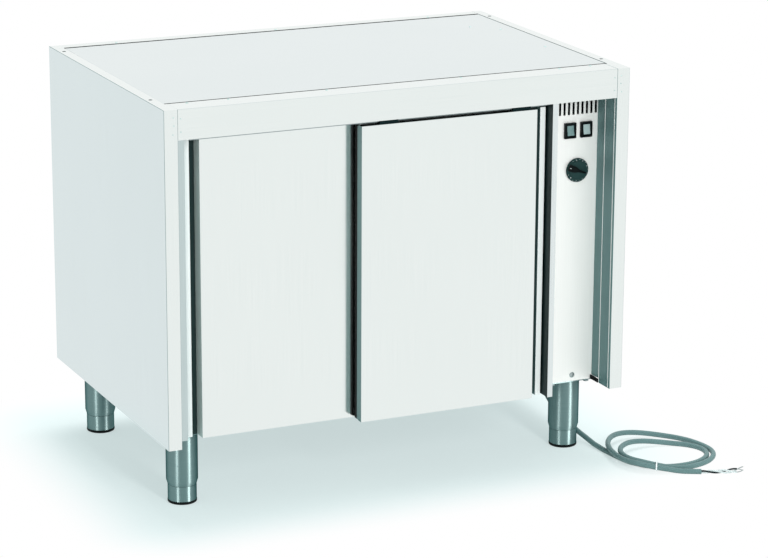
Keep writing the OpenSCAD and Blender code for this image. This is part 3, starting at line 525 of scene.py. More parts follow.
def smooth(mesh: bpy.types.Mesh, angle: float = 40.0) -> None:
    """Shades a mesh smooth and keeps edges over an angle sharp.

    Args:
        mesh: Mesh to shade.
        angle: Limit in degrees.
    """
    for face in mesh.polygons:
        face.use_smooth = True
    mesh.set_sharp_from_angle(angle=math.radians(angle))


def box_mm(node: str) -> tuple[Vector, Vector]:
    """Gives the lowest and the highest corner of a CAD node's box, in millimetres."""
    low, high = (Vector(corner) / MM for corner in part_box(node))
    return low, high


def settle(piece: Piece, node: str, stands_for: Sequence[str] = ()) -> Piece:
    """Lets a piece ride with a node's body and take its slot.

    Args:
        piece: Piece to place.
        node: CAD node that carries it.
        stands_for: CAD nodes that the piece replaces.

    Returns:
        The same piece.
    """
    record = frame["record"]
    groups = record["behaviour"]["bodies"]
    body = next(name for name, members in groups.items() if node in members)
    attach(piece, body)
    if stands_for:
        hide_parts(*stands_for)
    log.info("%s rides on %s", piece.name, body)
    return piece


def clean_shape(node: str) -> Shape:
    """Copies a CAD node's shape without its stored shading, its flat faces made whole.

    Args:
        node: Name of the CAD node.

    Returns:
        The shape, to be freed by the caller.
    """
    source = frame["nodes"][node].data
    plain = bpy.data.meshes.new(node + "_plain")
    corners = [tuple(v.co) for v in source.vertices]
    plain.from_pydata(corners, [], [tuple(f.vertices) for f in source.polygons])
    shape = bmesh.new()
    shape.from_mesh(plain)
    bpy.data.meshes.remove(plain)
    bmesh.ops.remove_doubles(shape, verts=shape.verts, dist=WELD)
    flat = math.radians(0.5)
    bmesh.ops.dissolve_limit(shape, angle_limit=flat, verts=shape.verts, edges=shape.edges)
    return shape


def round_edges(shape: Shape, edges: Sequence[bmesh.types.BMEdge], radius_mm: float, segments: int) -> None:
    """Rounds edges of a shape.

    Args:
        shape: Shape that has them.
        edges: Edges to round.
        radius_mm: Size of the rounding.
        segments: Number of its steps.
    """
    bmesh.ops.bevel(
        shape,
        geom=edges,
        offset=radius_mm * MM,
        segments=segments,
        profile=0.5,
        affect="EDGES",
        clamp_overlap=True,
    )


def rounded_copy(
    node: str, material: Material, radius_mm: float, least_mm: float = 6.0, least_mm2: float = 0.0
) -> Piece:
    """Replaces a CAD node by the same shape with its long sharp edges eased.

    Args:
        node: Name of the CAD node.
        material: Finish of the copy.
        radius_mm: Size of the easing.
        least_mm: Length under which an edge stays sharp.
        least_mm2: Area under which a face keeps its edges sharp.

    Returns:
        The new piece.
    """
    shape = clean_shape(node)
    edges = [
        e
        for e in shape.edges
        if len(e.link_faces) == 2
        and e.calc_face_angle(0.0) > math.radians(SHARP)
        and e.calc_length() > least_mm * MM
        and min(f.calc_area() for f in e.link_faces) > least_mm2 * MM * MM
    ]
    round_edges(shape, edges, radius_mm, segments=2)
    mesh = bpy.data.meshes.new(node + "_dressed")
    shape.to_mesh(mesh)
    shape.free()
    smooth(mesh, angle=20.0)
    return settle(link_object(node + "_dressed", mesh, material), node, [node])


def refinish(piece: Piece, material: Material, test: FaceTest) -> None:
    """Gives the faces that pass a test another finish.

    Args:
        piece: Piece that has the faces.
        material: Their finish.
        test: Says yes for a face's middle and normal.
    """
    mesh = piece.data
    mesh.materials.append(material)
    for face in mesh.polygons:
        if test(Vector(face.center), Vector(face.normal)):
            face.material_index = len(mesh.materials) - 1


def split(piece: Piece, depth: float) -> None:
    """Cuts the faces of a piece along an upright plane across Y; its shape stays the same.

    Args:
        piece: Piece to cut.
        depth: Place of the plane along Y, in metres.
    """
    shape = bmesh.new()
    shape.from_mesh(piece.data)
    whole = [*shape.verts, *shape.edges, *shape.faces]
    bmesh.ops.bisect_plane(shape, geom=whole, plane_co=(0, depth, 0), plane_no=(0, 1, 0))
    shape.to_mesh(piece.data)
    shape.free()


def on_circle(radius: float, share: float) -> Pair:
    """Gives the point of a circle at a share of the way round."""
    return (radius * math.cos(math.tau * share), radius * math.sin(math.tau * share))


def rectangle(across: Pair, along: Pair) -> list[Pair]:
    """Gives the corners of a rectangle, in order, from its ends on both axes."""
    return [(across[i], along[j]) for i, j in ((0, 0), (1, 0), (1, 1), (0, 1))]


def shaped(name: str, shape: Shape, material: Material, place: Matrix) -> Piece:
    """Turns a shape into a piece, set in the frame and shaded.

    Args:
        name: Name of the piece.
        shape: Its shape, which is freed.
        material: Its finish.
        place: Matrix that sets it in the frame.

    Returns:
        The piece.
    """
    bmesh.ops.recalc_face_normals(shape, faces=shape.faces)
    mesh = bpy.data.meshes.new(name)
    shape.to_mesh(mesh)
    shape.free()
    mesh.transform(place)
    smooth(mesh)
    return link_object(name, mesh, material)


def lathe(name: str, profile: Sequence[Pair], material: Material, place: Matrix, steps: int = 72) -> Piece:
    """Turns a profile round the local Z axis.

    Args:
        name: Name of the piece.
        profile: Radius and height in millimetres, from one end of the outline to the other.
        material: Finish of the piece.
        place: Matrix that sets it in the frame.
        steps: Number of segments round the axis.

    Returns:
        The turned piece.
    """
    shape = bmesh.new()
    rings = []
    for radius, height in profile:
        spots = [on_circle(radius * MM, i / steps) for i in range(steps if radius else 1)]
        rings.append([shape.verts.new((*spot, height * MM)) for spot in spots])
    for low, high in zip(rings, rings[1:]):
        for i in range(steps):
            j = (i + 1) % steps
            if len(low) == 1:
                shape.faces.new((low[0], high[j], high[i]))
            elif len(high) == 1:
                shape.faces.new((low[i], low[j], high[0]))
            else:
                shape.faces.new((low[i], low[j], high[j], high[i]))
    return shaped(name, shape, material, place)


def prism(
    name: str,
    outline: Sequence[Pair],
    heights: Pair,
    material: Material,
    place: Matrix = UNMOVED,
    round_mm: float = 0.0,
) -> Piece:
    """Raises a flat outline along the local Z axis.

    Args:
        name: Name of the piece.
        outline: Corners in millimetres, in order.
        heights: Heights of the lower and the upper face in millimetres.
        material: Finish of the piece.
        place: Matrix that sets it in the frame.
        round_mm: Rounding of every edge in millimetres.

    Returns:
        The raised piece.
    """
    low, high = heights
    shape = bmesh.new()
    base = shape.faces.new([shape.verts.new((x * MM, y * MM, low * MM)) for x, y in outline])
    raised = bmesh.ops.extrude_face_region(shape, geom=[base])
    moved = [v for v in raised["geom"] if isinstance(v, bmesh.types.BMVert)]
    bmesh.ops.translate(shape, verts=moved, vec=(0, 0, (high - low) * MM))
    bmesh.ops.recalc_face_normals(shape, faces=shape.faces)
    if round_mm:
        round_edges(shape, shape.edges[:], round_mm, segments=3)
    return shaped(name, shape, material, place)


def joined(pieces: Sequence[Piece], name: str) -> Piece:
    """Joins pieces into one object that keeps their materials.

    Args:
        pieces: Pieces to join; the first one stays.
        name: Name of the result.

    Returns:
        The joined piece.
    """
    first, group = pieces[0], list(pieces)
    with bpy.context.temp_override(
        active_object=first, selected_editable_objects=group, selected_objects=group
    ):
        bpy.ops.object.join()
    first.name = name
    return first


def curve_piece(name: str, points: Sequence[Vector], radius: float, material: Material) -> Piece:
    """Makes a round cord along points.

    Args:
        name: Name of the piece.
        points: Centreline in metres.
        radius: Radius in metres.
        material: Finish of the cord.

    Returns:
        The curve object.
    """
    curve = bpy.data.curves.new(name, "CURVE")
    curve.dimensions = "3D"
    curve.bevel_depth = radius
    curve.bevel_resolution = 5
    curve.use_fill_caps = True
    spline = curve.splines.new("POLY")
    spline.points.add(len(points) - 1)
    for target, point in zip(spline.points, points):
        target.co = (*point, 1.0)
    spline.use_smooth = True
    return link_object(name, curve, material)


def evaluated_mesh(piece: Piece) -> bpy.types.Mesh:
    """Turns a curve or a text into a mesh.

    Args:
        piece: Object to turn, which is removed.

    Returns:
        The mesh.
    """
    depsgraph = bpy.context.evaluated_depsgraph_get()
    mesh = bpy.data.meshes.new_from_object(piece.evaluated_get(depsgraph))
    bpy.data.objects.remove(piece)
    return mesh


def smooth_route(points: Sequence[Vector], parts: int) -> list[Vector]:
    """Runs a smooth curve through route points.

    Args:
        points: Route in order.
        parts: Number of steps between two route points.

    Returns:
        Points along the curve, the first and last unchanged.
    """
    route: list[Vector] = []
    last = len(points) - 1
    for i in range(last):
        p0, p1 = points[max(i - 1, 0)], points[i]
        p2, p3 = points[i + 1], points[min(i + 2, last)]
        chord = (p2 - p1).length
        leave = (p2 - p0) * (chord / (chord + (p1 - p0).length))
        reach = (p3 - p1) * (chord / (chord + (p3 - p2).length))
        for step in range(parts):
            t = step / parts
            a = 2 * t ** 3 - 3 * t ** 2 + 1
            b = t ** 3 - 2 * t ** 2 + t
            c = -2 * t ** 3 + 3 * t ** 2
            d = t ** 3 - t ** 2
            route.append(a * p1 + b * leave + c * p2 + d * reach)
    route.append(points[-1].copy())
    return route


def eased(value: float, span: Pair) -> float:
    """Steps smoothly from nought to one while a value goes through a span."""
    t = max(0.0, min(1.0, (value - span[0]) / (span[1] - span[0])))
    return t * t * (3 - 2 * t)


@dataclass
class PhotoCamera:
    """Camera at the photograph's place and angle."""

    place: Triple = (-2.41508, -5.45561, 2.04420)
    ahead: Triple = (0.40444, 0.87300, -0.27260)
    right: Triple = (0.90793, -0.41910, 0.00486)
    lens: float = 139.44

    def build(self) -> None:
        """Makes the camera and hands it to the scene."""
        data = bpy.data.cameras.new("photo_camera")
        data.sensor_fit = "HORIZONTAL"
        data.sensor_width = 36.0
        data.lens = self.lens
        data.clip_end = 100.0
        camera = bpy.data.objects.new("photo_camera", data)
        back = -Vector(self.ahead).normalized()
        side = Vector(self.right).normalized()
        up = back.cross(side).normalized()
        turn = Matrix((side, up, back)).transposed().to_4x4()
        camera.matrix_world = Matrix.Translation(self.place) @ turn
        bpy.context.scene.collection.objects.link(camera)
        bpy.context.scene.camera = camera


@dataclass
class SupplyCord:
    """Grey supply cord: lead from the gland, tied coil, cut end with bare cores; sizes in millimetres."""

    looks: Finishes
    diameter: float = 11.0
    gland: Triple = (440.0, -90.0, 124.0)
    lead_run: float = 20.0
    route_parts: int = 3
    coil_mid: Pair = (582.0, -386.0)
    coil_from: float = 200.0
    coil_turns: float = 2.125
    coil_rings: int = 32
    coil_side: Pair = (84.0, 14.0)
    coil_back: Pair = (36.0, 62.0)
    coil_front: Pair = (66.0, 13.0)
    coil_lift: float = 12.2
    coil_rise: Pair = (0.58, 0.8)
    coil_fall: Pair = (1.02, 1.2)
    tail_rings: int = 4
    tail_step: float = 18.0
    tie_points: tuple[int, ...] = (35, 3, 67)
    tie_turn: float = -32.0
    tie_slack: float = 0.7
    tie_thick: float = 1.0
    tie_half: float = 1.4
    tie_steps: int = 64
    tie_floor: float = 0.1
    lock_half: Pair = (2.4, 2.6)
    lock_heights: Pair = (-1.2, 1.8)
    core_length: float = 85.0
    core_diameter: float = 3.5
    core_rings: int = 60
    core_straight: int = 4
    core_twist: float = 430.0
    core_spread: float = 0.6
    core_flare: float = 1.3
    core_lift: float = 0.5
    core_bared: float = 0.86
    strand_share: float = 0.3
    cap: tuple[Pair, ...] = (
        (5.7, 1.5), (5.7, 0), (7.3, 0), (8.6, 2.4), (10.6, 9), (11.0, 12.4), (0, 12.4),
    )
    thread: tuple[Pair, ...] = ((0, 25.5), (9.9, 25.5), (9.9, 28), (0, 28))
    hexagon_r: float = 11.6
    body_heights: Pair = (12.4, 26.0)
    nut_heights: Pair = (27.6, 33.0)
    rib_count: int = 12
    rib_across: Pair = (9.0, 11.3)
    rib_along: Pair = (-0.7, 0.7)
    rib_heights: Pair = (6.5, 12.3)

    def route(self) -> list[Vector]:
        """Gives the cord's centreline from the gland to the cut end.

        Returns:
            Points in millimetres.
        """
        coil = self.coil()
        start = coil[0] - (coil[1] - coil[0]).normalized() * self.lead_run
        return [Vector(p) for p in (self.gland, *LEAD_ROUTE)] + [start] + coil

    def coil_height(self, turns: float) -> float:
        """Gives the height of the coil, which is lifted where a turn passes over the lead.

        Args:
            turns: Turns from the start of the coil.

        Returns:
            Height of the centreline over the floor, in millimetres.
        """
        part = turns - max(0, math.floor(turns - 0.5))
        lift = eased(part, self.coil_rise) - eased(part, self.coil_fall)
        return self.diameter / 2 + self.coil_lift * lift

    def coil_point(self, turns: float) -> Vector:
        """Gives a point of the widening loop that the coil follows.

        Args:
            turns: Turns from the start of the coil.

        Returns:
            The point, in millimetres.
        """
        angle = math.radians(self.coil_from + 360 * turns)
        deep = self.coil_back if math.sin(angle) > 0 else self.coil_front
        x = self.coil_mid[0] + (self.coil_side[0] + self.coil_side[1] * turns) * math.cos(angle)
        y = self.coil_mid[1] + (deep[0] + deep[1] * turns) * math.sin(angle)
        return Vector((x, y, self.coil_height(turns)))

    def coil(self) -> list[Vector]:
        """Works out the coil's centreline: the turns, then a straight tail to the cut end.

        Returns:
            Points in millimetres.
        """
        rings = int(self.coil_turns * self.coil_rings)
        points = [self.coil_point(i / self.coil_rings) for i in range(rings + 1)]
        end = points[-1]
        ahead = end - points[-2]
        ahead.z = 0
        ahead.normalize()
        for k in range(1, self.tail_rings + 1):
            point = end + ahead * (k * self.tail_step)
            point.z = self.coil_height(self.coil_turns + k / self.coil_rings)
            points.append(point)
        return points

    def tie_strands(self, ahead: Vector) -> list[Vector]:
        """Finds where the tied strands of the coil pass through the tie.

        Args:
            ahead: Direction square to the tie.

        Returns:
            One point for each strand, in millimetres.
        """
        coil = self.coil()
        middle = coil[self.tie_points[0]]
        strands = []
        for i in self.tie_points:
            run = coil[i + 1] - coil[i - 1]
            off = (coil[i] - middle).dot(ahead)
            strands.append(coil[i] - run * (off / run.dot(ahead)))
        return strands

    def build(self) -> None:
        """Makes the cord, its tie, its cores and its gland."""
        points = [p * MM for p in smooth_route(self.route(), self.route_parts)]
        flex = curve_piece("supply_cord", points, self.diameter / 2 * MM, self.looks.sheath)
        settle(flex, "cord_lead", ["cord_lead", "cord_coil"])
        tie = self.tie()
        cores = self.cores(points[-1], points[-1] - points[-2])
        self.gland_piece()

    def tie(self) -> Piece:
        """Makes the white strap round the coil's front strands, with its lock.

        Returns:
            The strap.
        """
        turn = math.radians(self.tie_turn)
        strands = self.tie_strands(Vector((math.cos(turn), math.sin(turn), 0)))
        side = Vector((-math.sin(turn), math.cos(turn), 0))
        marks = [((p - strands[0]).dot(side), p.z) for p in strands]
        bore = self.diameter / 2 + self.tie_slack
        ring = self.belt(marks, bore)
        outer = self.belt(marks, bore + self.tie_thick)
        half = self.tie_half
        shape = bmesh.new()
        loops = []
        for belt, x in ((ring, -half), (outer, -half), (outer, half), (ring, half)):
            spots = [(x * MM, y * MM, max(z, self.tie_floor) * MM) for y, z in belt]
            loops.append([shape.verts.new(spot) for spot in spots])
        for low, high in zip(loops, loops[1:] + loops[:1]):
            for i in range(self.tie_steps):
                j = (i + 1) % self.tie_steps
                shape.faces.new((low[i], low[j], high[j], high[i]))
        spot = Matrix.Translation((strands[0].x * MM, strands[0].y * MM, 0))
        place = spot @ Matrix.Rotation(turn, 4, "Z")
        strap = shaped("cord_tie_strap", shape, self.looks.tie, place)
        y, top = max(outer, key=lambda point: point[1])
        wide, long = self.lock_half
        outline = rectangle((-wide, wide), (y - long, y + long))
        heights = (top + self.lock_heights[0], top + self.lock_heights[1])
        lock = prism("cord_tie_lock", outline, heights, self.looks.tie, place, round_mm=0.6)
        return settle(joined([strap, lock], "cord_tie_strap"), "cord_tie", ["cord_tie"])

    def belt(self, marks: Sequence[Pair], radius: float) -> list[Pair]:
        """Gives the tight outline round circles of one size.

        Args:
            marks: Middles of the circles.
            radius: Their radius.

        Returns:
            The outline, sampled evenly by the direction of its normal.
        """
        outline = []
        for i in range(self.tie_steps):
            out = on_circle(1.0, i / self.tie_steps)
            far = max(marks, key=lambda m: m[0] * out[0] + m[1] * out[1])
            outline.append((far[0] + radius * out[0], far[1] + radius * out[1]))
        return outline

    def cores(self, end: Vector, ahead: Vector) -> Piece:
        """Makes the three cores that leave the cut sheath, with bared strands at their tips.

        Args:
            end: Middle of the sheath's cut end, in metres.
            ahead: Direction in which the sheath ends.

        Returns:
            The cores as one piece.
        """
        looks = self.looks
        level = Vector((ahead.x, ahead.y, 0)).normalized()
        side = Vector((0, 0, 1)).cross(level)
        rings = self.core_rings
        bared = int(rings * self.core_bared)
        pieces = []
        for i, finish in enumerate((looks.core_pale, looks.core_dark, looks.core_pale)):
            path = []
            for s in range(rings + 1):
                f = max(0.0, s - self.core_straight) / (rings - self.core_straight)
                turn = math.radians(120 * i + self.core_twist * f)
                spread = self.core_diameter * self.core_spread * (1 + self.core_flare * f * f)
                rise = math.sin(turn) + self.core_lift * f + f * f
                offset = side * math.cos(turn) + Vector((0, 0, rise))
                path.append(end + level * (self.core_length * s / rings * MM) + offset * (spread * MM))
            for name, points, radius, material in (
                ("core", path[: bared + 1], self.core_diameter / 2, finish),
                ("strand", path[bared:], self.core_diameter * self.strand_share, looks.copper),
            ):
                curve = curve_piece(f"{name}_{i}", points, radius * MM, material)
                pieces.append(link_object(f"{name}_{i}", evaluated_mesh(curve), material))
        return settle(joined(pieces, "cord_cores_bared"), "cord_cores", ["cord_cores"])

    def gland_piece(self) -> None:
        """Makes the cable gland: lock nut, hexagon body and ribbed tapered cap."""
        black = self.looks.black
        place = Matrix.Translation(Vector(self.gland) * MM)
        hexagon = [on_circle(self.hexagon_r, i / 6) for i in range(6)]
        parts = [
            lathe("gland_cap", self.cap, black, place),
            prism("gland_body", hexagon, self.body_heights, black, place, round_mm=0.7),
            prism("gland_nut", hexagon, self.nut_heights, black, place, round_mm=0.7),
            lathe("gland_thread", self.thread, black, place),
        ]
        rib = rectangle(self.rib_across, self.rib_along)
        for i in range(self.rib_count):
            turned = place @ Matrix.Rotation(math.tau * i / self.rib_count, 4, "Z")
            parts.append(prism(f"gland_rib_{i}", rib, self.rib_heights, black, turned, round_mm=0.3))
        settle(joined(parts, "cord_gland_dressed"), "cord_gland", ["cord_gland"])


@dataclass
class SheetWork:
    """Folded sheet panels, doors and liners, with their bends and edges rounded; sizes in millimetres."""

    looks: Finishes
    edge: float = 0.45
    bend: float = 1.2
    bend_mm2: float = 4000.0
    grip_from: float = 10.0
    groove_from: float = 20.0
    groove_reach: float = 300.0
    slots_below: float = 60.0
    chamber_gap: float = 5.0
    roof_slot: float = 6.0
    roof_play: float = 0.2
    roof_seal: Pair = (-4.0, 0.3)
    bay_wall: float = 472.0
    hem_depths: tuple[float, ...] = (7.6, 46.0)
    hem_across: Pair = (-0.8, 0.2)
    hem_half: float = 0.6
    hem_in: float = 1.0
    # Black rubber block of painted shade at the foot of the control bay.
    foot_seal_across: Pair = (-3.0, -0.2)
    foot_seal_depths: Pair = (46.5, 79.0)
    foot_seal_heights: Pair = (0.3, 8.8)
    # Dark strips in the door gap: painted shade and painted reflection.
    carrier_depths: Pair = (16.3, 22.0)
    lip_depths: Pair = (22.2, 31.5)
    bumper_in: Pair = (0.4, 7.0)
    bumper_ends: Pair = (1.0, 3.0)
    rear_in: float = 12.0
    rear_rows: int = 5
    rear_scale: float = 2.2
    rivet_spots: tuple[Pair, ...] = ((19.0, 15.0), (20.0, 31.0), (18.0, 48.0), (34.0, 18.0), (34.0, 44.0))

    def build(self) -> list[Piece]:
        """Rounds and dresses every sheet piece.

        Returns:
            The door skins.
        """
        looks = self.looks
        doors = ("left_door_skin", "right_door_skin")
        groups = {
            looks.upright: [*doors, "rear_panel"],
            looks.satin: ["control_panel"],
            looks.level: ["fascia"],
            looks.roof: ["roof_panel"],
            looks.strip: ["partition"],
            looks.jamb: ["left_jamb"],
            looks.inner: ["left_door_liner", "right_door_liner", "shelf"],
        }
        made = {}
        for material, nodes in groups.items():
            for node in nodes:
                made[node] = rounded_copy(node, material, self.edge)
        for node in ("left_side_panel", "right_side_panel"):
            panel = rounded_copy(node, looks.upright, self.bend, least_mm2=self.bend_mm2)
            # Painted shade: the side panels' outer faces take the darker side finish, and their bends the
            # dark fold finish.
            refinish(panel, looks.side, lambda middle, normal: abs(normal.x) > SQUARE)
            refinish(panel, looks.fold, lambda middle, normal: LEANING < abs(normal.x) < SQUARE)
            made[node] = panel
        for node in doors:
            self.dull_groove(made[node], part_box(node)[0][1])
        # Painted shade: the right post's inner wall in the control bay takes the dark fold finish.
        refinish(made["right_side_panel"], looks.fold, lambda middle, normal: normal.x < -SQUARE)
        panel, partition = made["control_panel"], made["partition"]
        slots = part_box("control_panel")[1][2] - self.slots_below * MM
        # Painted shade: the control panel's left-facing faces take the dark fold finish, its back faces and
        # vent slot walls the near-black groove finish.
        refinish(panel, looks.fold, lambda middle, normal: normal.x < -FACING)
        refinish(
            panel,
            looks.groove,
            lambda middle, normal: normal.y > FACING or (abs(normal.y) < LEANING and middle.z > slots),
        )
        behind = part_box("left_door_liner")[1][1] + self.chamber_gap * MM
        split(partition, behind)
        # Painted shade: the partition's face towards the door gap, in front of the chamber, takes the
        # near-black groove finish.
        refinish(
            partition, looks.groove, lambda middle, normal: normal.x < -FACING and middle.y < behind
        )
        # Painted shade: the upper bends of the fascia and doors take the darker jamb finish instead of a
        # highlight line.
        for node in ("fascia", *doors):
            refinish(made[node], looks.jamb, lambda middle, normal: TURNED < normal.z < SQUARE)
        self.rivets()
        self.roof_seals()
        self.bay_trim()
        self.edge_seals()
        return [made[node] for node in doors]

    def dull_groove(self, door: Piece, front: float) -> None:
        """Paints shade on a door's ends and finger groove, and gives its grip strip a satin finish.

        Args:
            door: Door skin.
            front: Place of the skin's front along Y, in metres.
        """
        looks = self.looks
        grip, deep = front + self.grip_from * MM, front + self.groove_from * MM
        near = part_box("left_door_skin")[1][0] - self.groove_reach * MM
        refinish(door, looks.fold, lambda middle, normal: normal.x < -FACING)
        refinish(door, looks.cheek, lambda middle, normal: normal.x < -FACING and middle.x < near)
        refinish(door, looks.grip, lambda middle, normal: normal.y < -FACING and grip < middle.y < deep)
        refinish(door, looks.groove, lambda middle, normal: normal.y < -FACING and middle.y > deep)

    def rivets(self) -> None:
        """Makes the flush rivets that hold the fascia's ends to the posts and the rear panel to the sides."""
        left = Vector(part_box("left_side_panel")[0])
        right = Vector(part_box("right_side_panel")[1])
        heads = []
        for edge, inward in ((left.x, 1), (right.x, -1)):
            for across, drop in self.rivet_spots:
                spot = (edge + inward * across * MM, left.y, right.z - drop * MM)
                place = Matrix.Translation(spot) @ Matrix.Rotation(QUARTER_TURN, 4, "X")
                heads.append(lathe(f"rivet_{len(heads)}", RIVET_HEAD, self.looks.cheek, place, steps=20))
        settle(joined(heads, "post_rivets"), "roof_rivets")
        low, high = (Vector(corner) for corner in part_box("rear_panel"))
        head = [(self.rear_scale * radius, self.rear_scale * height) for radius, height in RIVET_HEAD]
        rear = []
        for x in (low.x + self.rear_in * MM, high.x - self.rear_in * MM):
            for i in range(self.rear_rows):
                z = low.z + (high.z - low.z) * (i + 0.5) / self.rear_rows
                place = Matrix.Translation((x, high.y, z)) @ Matrix.Rotation(-QUARTER_TURN, 4, "X")
                rear.append(lathe(f"rear_rivet_{len(rear)}", head, self.looks.cheek, place, steps=24))
        settle(joined(rear, "rear_rivets"), "rear_panel")

    def roof_seals(self) -> None:
        """Makes the rubber seals that lie in the slots before and behind the roof panel."""
        low, high = box_mm("roof_panel")
        heights = (high.z + self.roof_seal[0], high.z + self.roof_seal[1])
        near, far = self.roof_play, self.roof_slot - self.roof_play
        strips = []
        for name, along in (
            ("roof_seal_front", (low.y - far, low.y - near)),
            ("roof_seal_rear", (high.y + near, high.y + far)),
        ):
            outline = rectangle((low.x, high.x), along)
            strips.append(prism(name, outline, heights, self.looks.rubber, round_mm=0.1))
        settle(joined(strips, "roof_seals"), "roof_panel")

    def bay_trim(self) -> None:
        """Makes the hems of the right post inside the control bay, and a black rubber block of painted shade
        at its foot.
        """
        front, low = box_mm("right_side_panel")[0].y, box_mm("control_panel")[0].z
        top = box_mm("fascia")[0].z
        across = (self.bay_wall + self.hem_across[0], self.bay_wall + self.hem_across[1])
        heights = (low + self.hem_in, top - self.hem_in)
        hems = []
        for depth in self.hem_depths:
            outline = rectangle(across, (front + depth - self.hem_half, front + depth + self.hem_half))
            name = f"post_hem_{len(hems)}"
            hems.append(prism(name, outline, heights, self.looks.satin, round_mm=0.25))
        settle(joined(hems, "post_hems"), "right_side_panel")
        # Painted shade: a black rubber block at the foot of the bay wall stands in for the shade in the notch
        # there.
        outline = rectangle(
            (self.bay_wall + self.foot_seal_across[0], self.bay_wall + self.foot_seal_across[1]),
            (front + self.foot_seal_depths[0], front + self.foot_seal_depths[1]),
        )
        heights = (low + self.foot_seal_heights[0], low + self.foot_seal_heights[1])
        shade_block = prism("bay_foot_shade_block", outline, heights, self.looks.rubber, round_mm=0.5)
        settle(shade_block, "control_panel")

    def edge_seals(self) -> None:
        """Makes a dark strip in the step behind each door's far edge, a steel carrier with a black rubber
        lip, as painted shade and painted reflection in the gap between the doors.
        """
        for side, edge, inward in (("left", 1, -1), ("right", 0, 1)):
            corners = box_mm(side + "_door_skin")
            low, high = corners
            across = tuple(corners[edge].x + inward * reach for reach in self.bumper_in)
            heights = (low.z + self.bumper_ends[0], high.z - self.bumper_ends[1])
            parts = []
            for name, (near, far), finish in (
                ("carrier", self.carrier_depths, self.looks.fold),
                ("lip", self.lip_depths, self.looks.rubber),
            ):
                outline = rectangle(across, (low.y + near, low.y + far))
                parts.append(prism(f"{side}_edge_{name}", outline, heights, finish, round_mm=0.3))
            settle(joined(parts, side + "_door_gap_shade"), side + "_door_skin")

    def plain(self) -> None:
        """Gives the flat and hidden pieces their finish."""
        looks = self.looks
        rollers = [f"{side}_roller_{place}" for side in ("left", "right") for place in ("outer", "inner")]
        groups = {
            looks.inner: ["left_liner", "rear_liner", "ceiling", "fan_impeller"],
            looks.deep: ["chamber_floor"],
            looks.zinc: ["base_pan", "door_track", "heater_box", "fan_motor", "leg_bolts"],
            looks.black_zinc: ["left_door_hangers", "right_door_hangers"],
            looks.wool: ["insulation"],
            looks.nylon: ["door_guide", *rollers, "thermostat", "terminal_block"],
            looks.strip: ["shelf_brackets"],
            looks.turned: ["thermostat_bulb"],
            looks.tube: ["heater_ring"],
            looks.cheek: ["roof_rivets"],
            looks.sheath: ["cord_lead", "cord_coil"],
            looks.tie: ["cord_tie"],
            looks.core_pale: ["cord_cores"],
            looks.black: ["cord_gland"],
        }
        for material, nodes in groups.items():
            for node in nodes:
                data = frame["nodes"][node].data
                data.materials.clear()
                data.materials.append(material)
                log.info("%s is %s", node, material.name)


@dataclass
class Legs:
    """Adjustable legs: drawn tube with a swaged shoulder, foot and rubber pad."""

    looks: Finishes
    corners: tuple[str, ...] = ("front_left", "front_right", "rear_left", "rear_right")
    rim: float = 0.6
    cup: tuple[Pair, ...] = (
        (0, 0.9), (18, 0.9), (19, 0), (27.6, 0), (28.9, 0.7), (29.5, 2.0),
        (29.5, 5.6), (29.2, 6.2), (28.4, 6.4), (28.4, 4.5), (0, 4.5),
    )

    def build(self) -> list[Piece]:
        """Dresses the legs, feet and pads.

        Returns:
            The tubes of the legs and feet.
        """
        tubes = []
        for corner in self.corners:
            for node in ("leg_" + corner, "foot_" + corner):
                tubes.append(rounded_copy(node, self.looks.tube, self.rim, 0.0))
            self.pad("pad_" + corner)
        return tubes

    def pad(self, node: str) -> None:
        """Makes the rubber cup that takes the foot's lower rim.

        Args:
            node: Name of the pad's CAD node.
        """
        low, high = (Vector(corner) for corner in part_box(node))
        place = Matrix.Translation(((low.x + high.x) / 2, (low.y + high.y) / 2, low.z))
        settle(lathe(node + "_cup", self.cup, self.looks.rubber, place), node, [node])


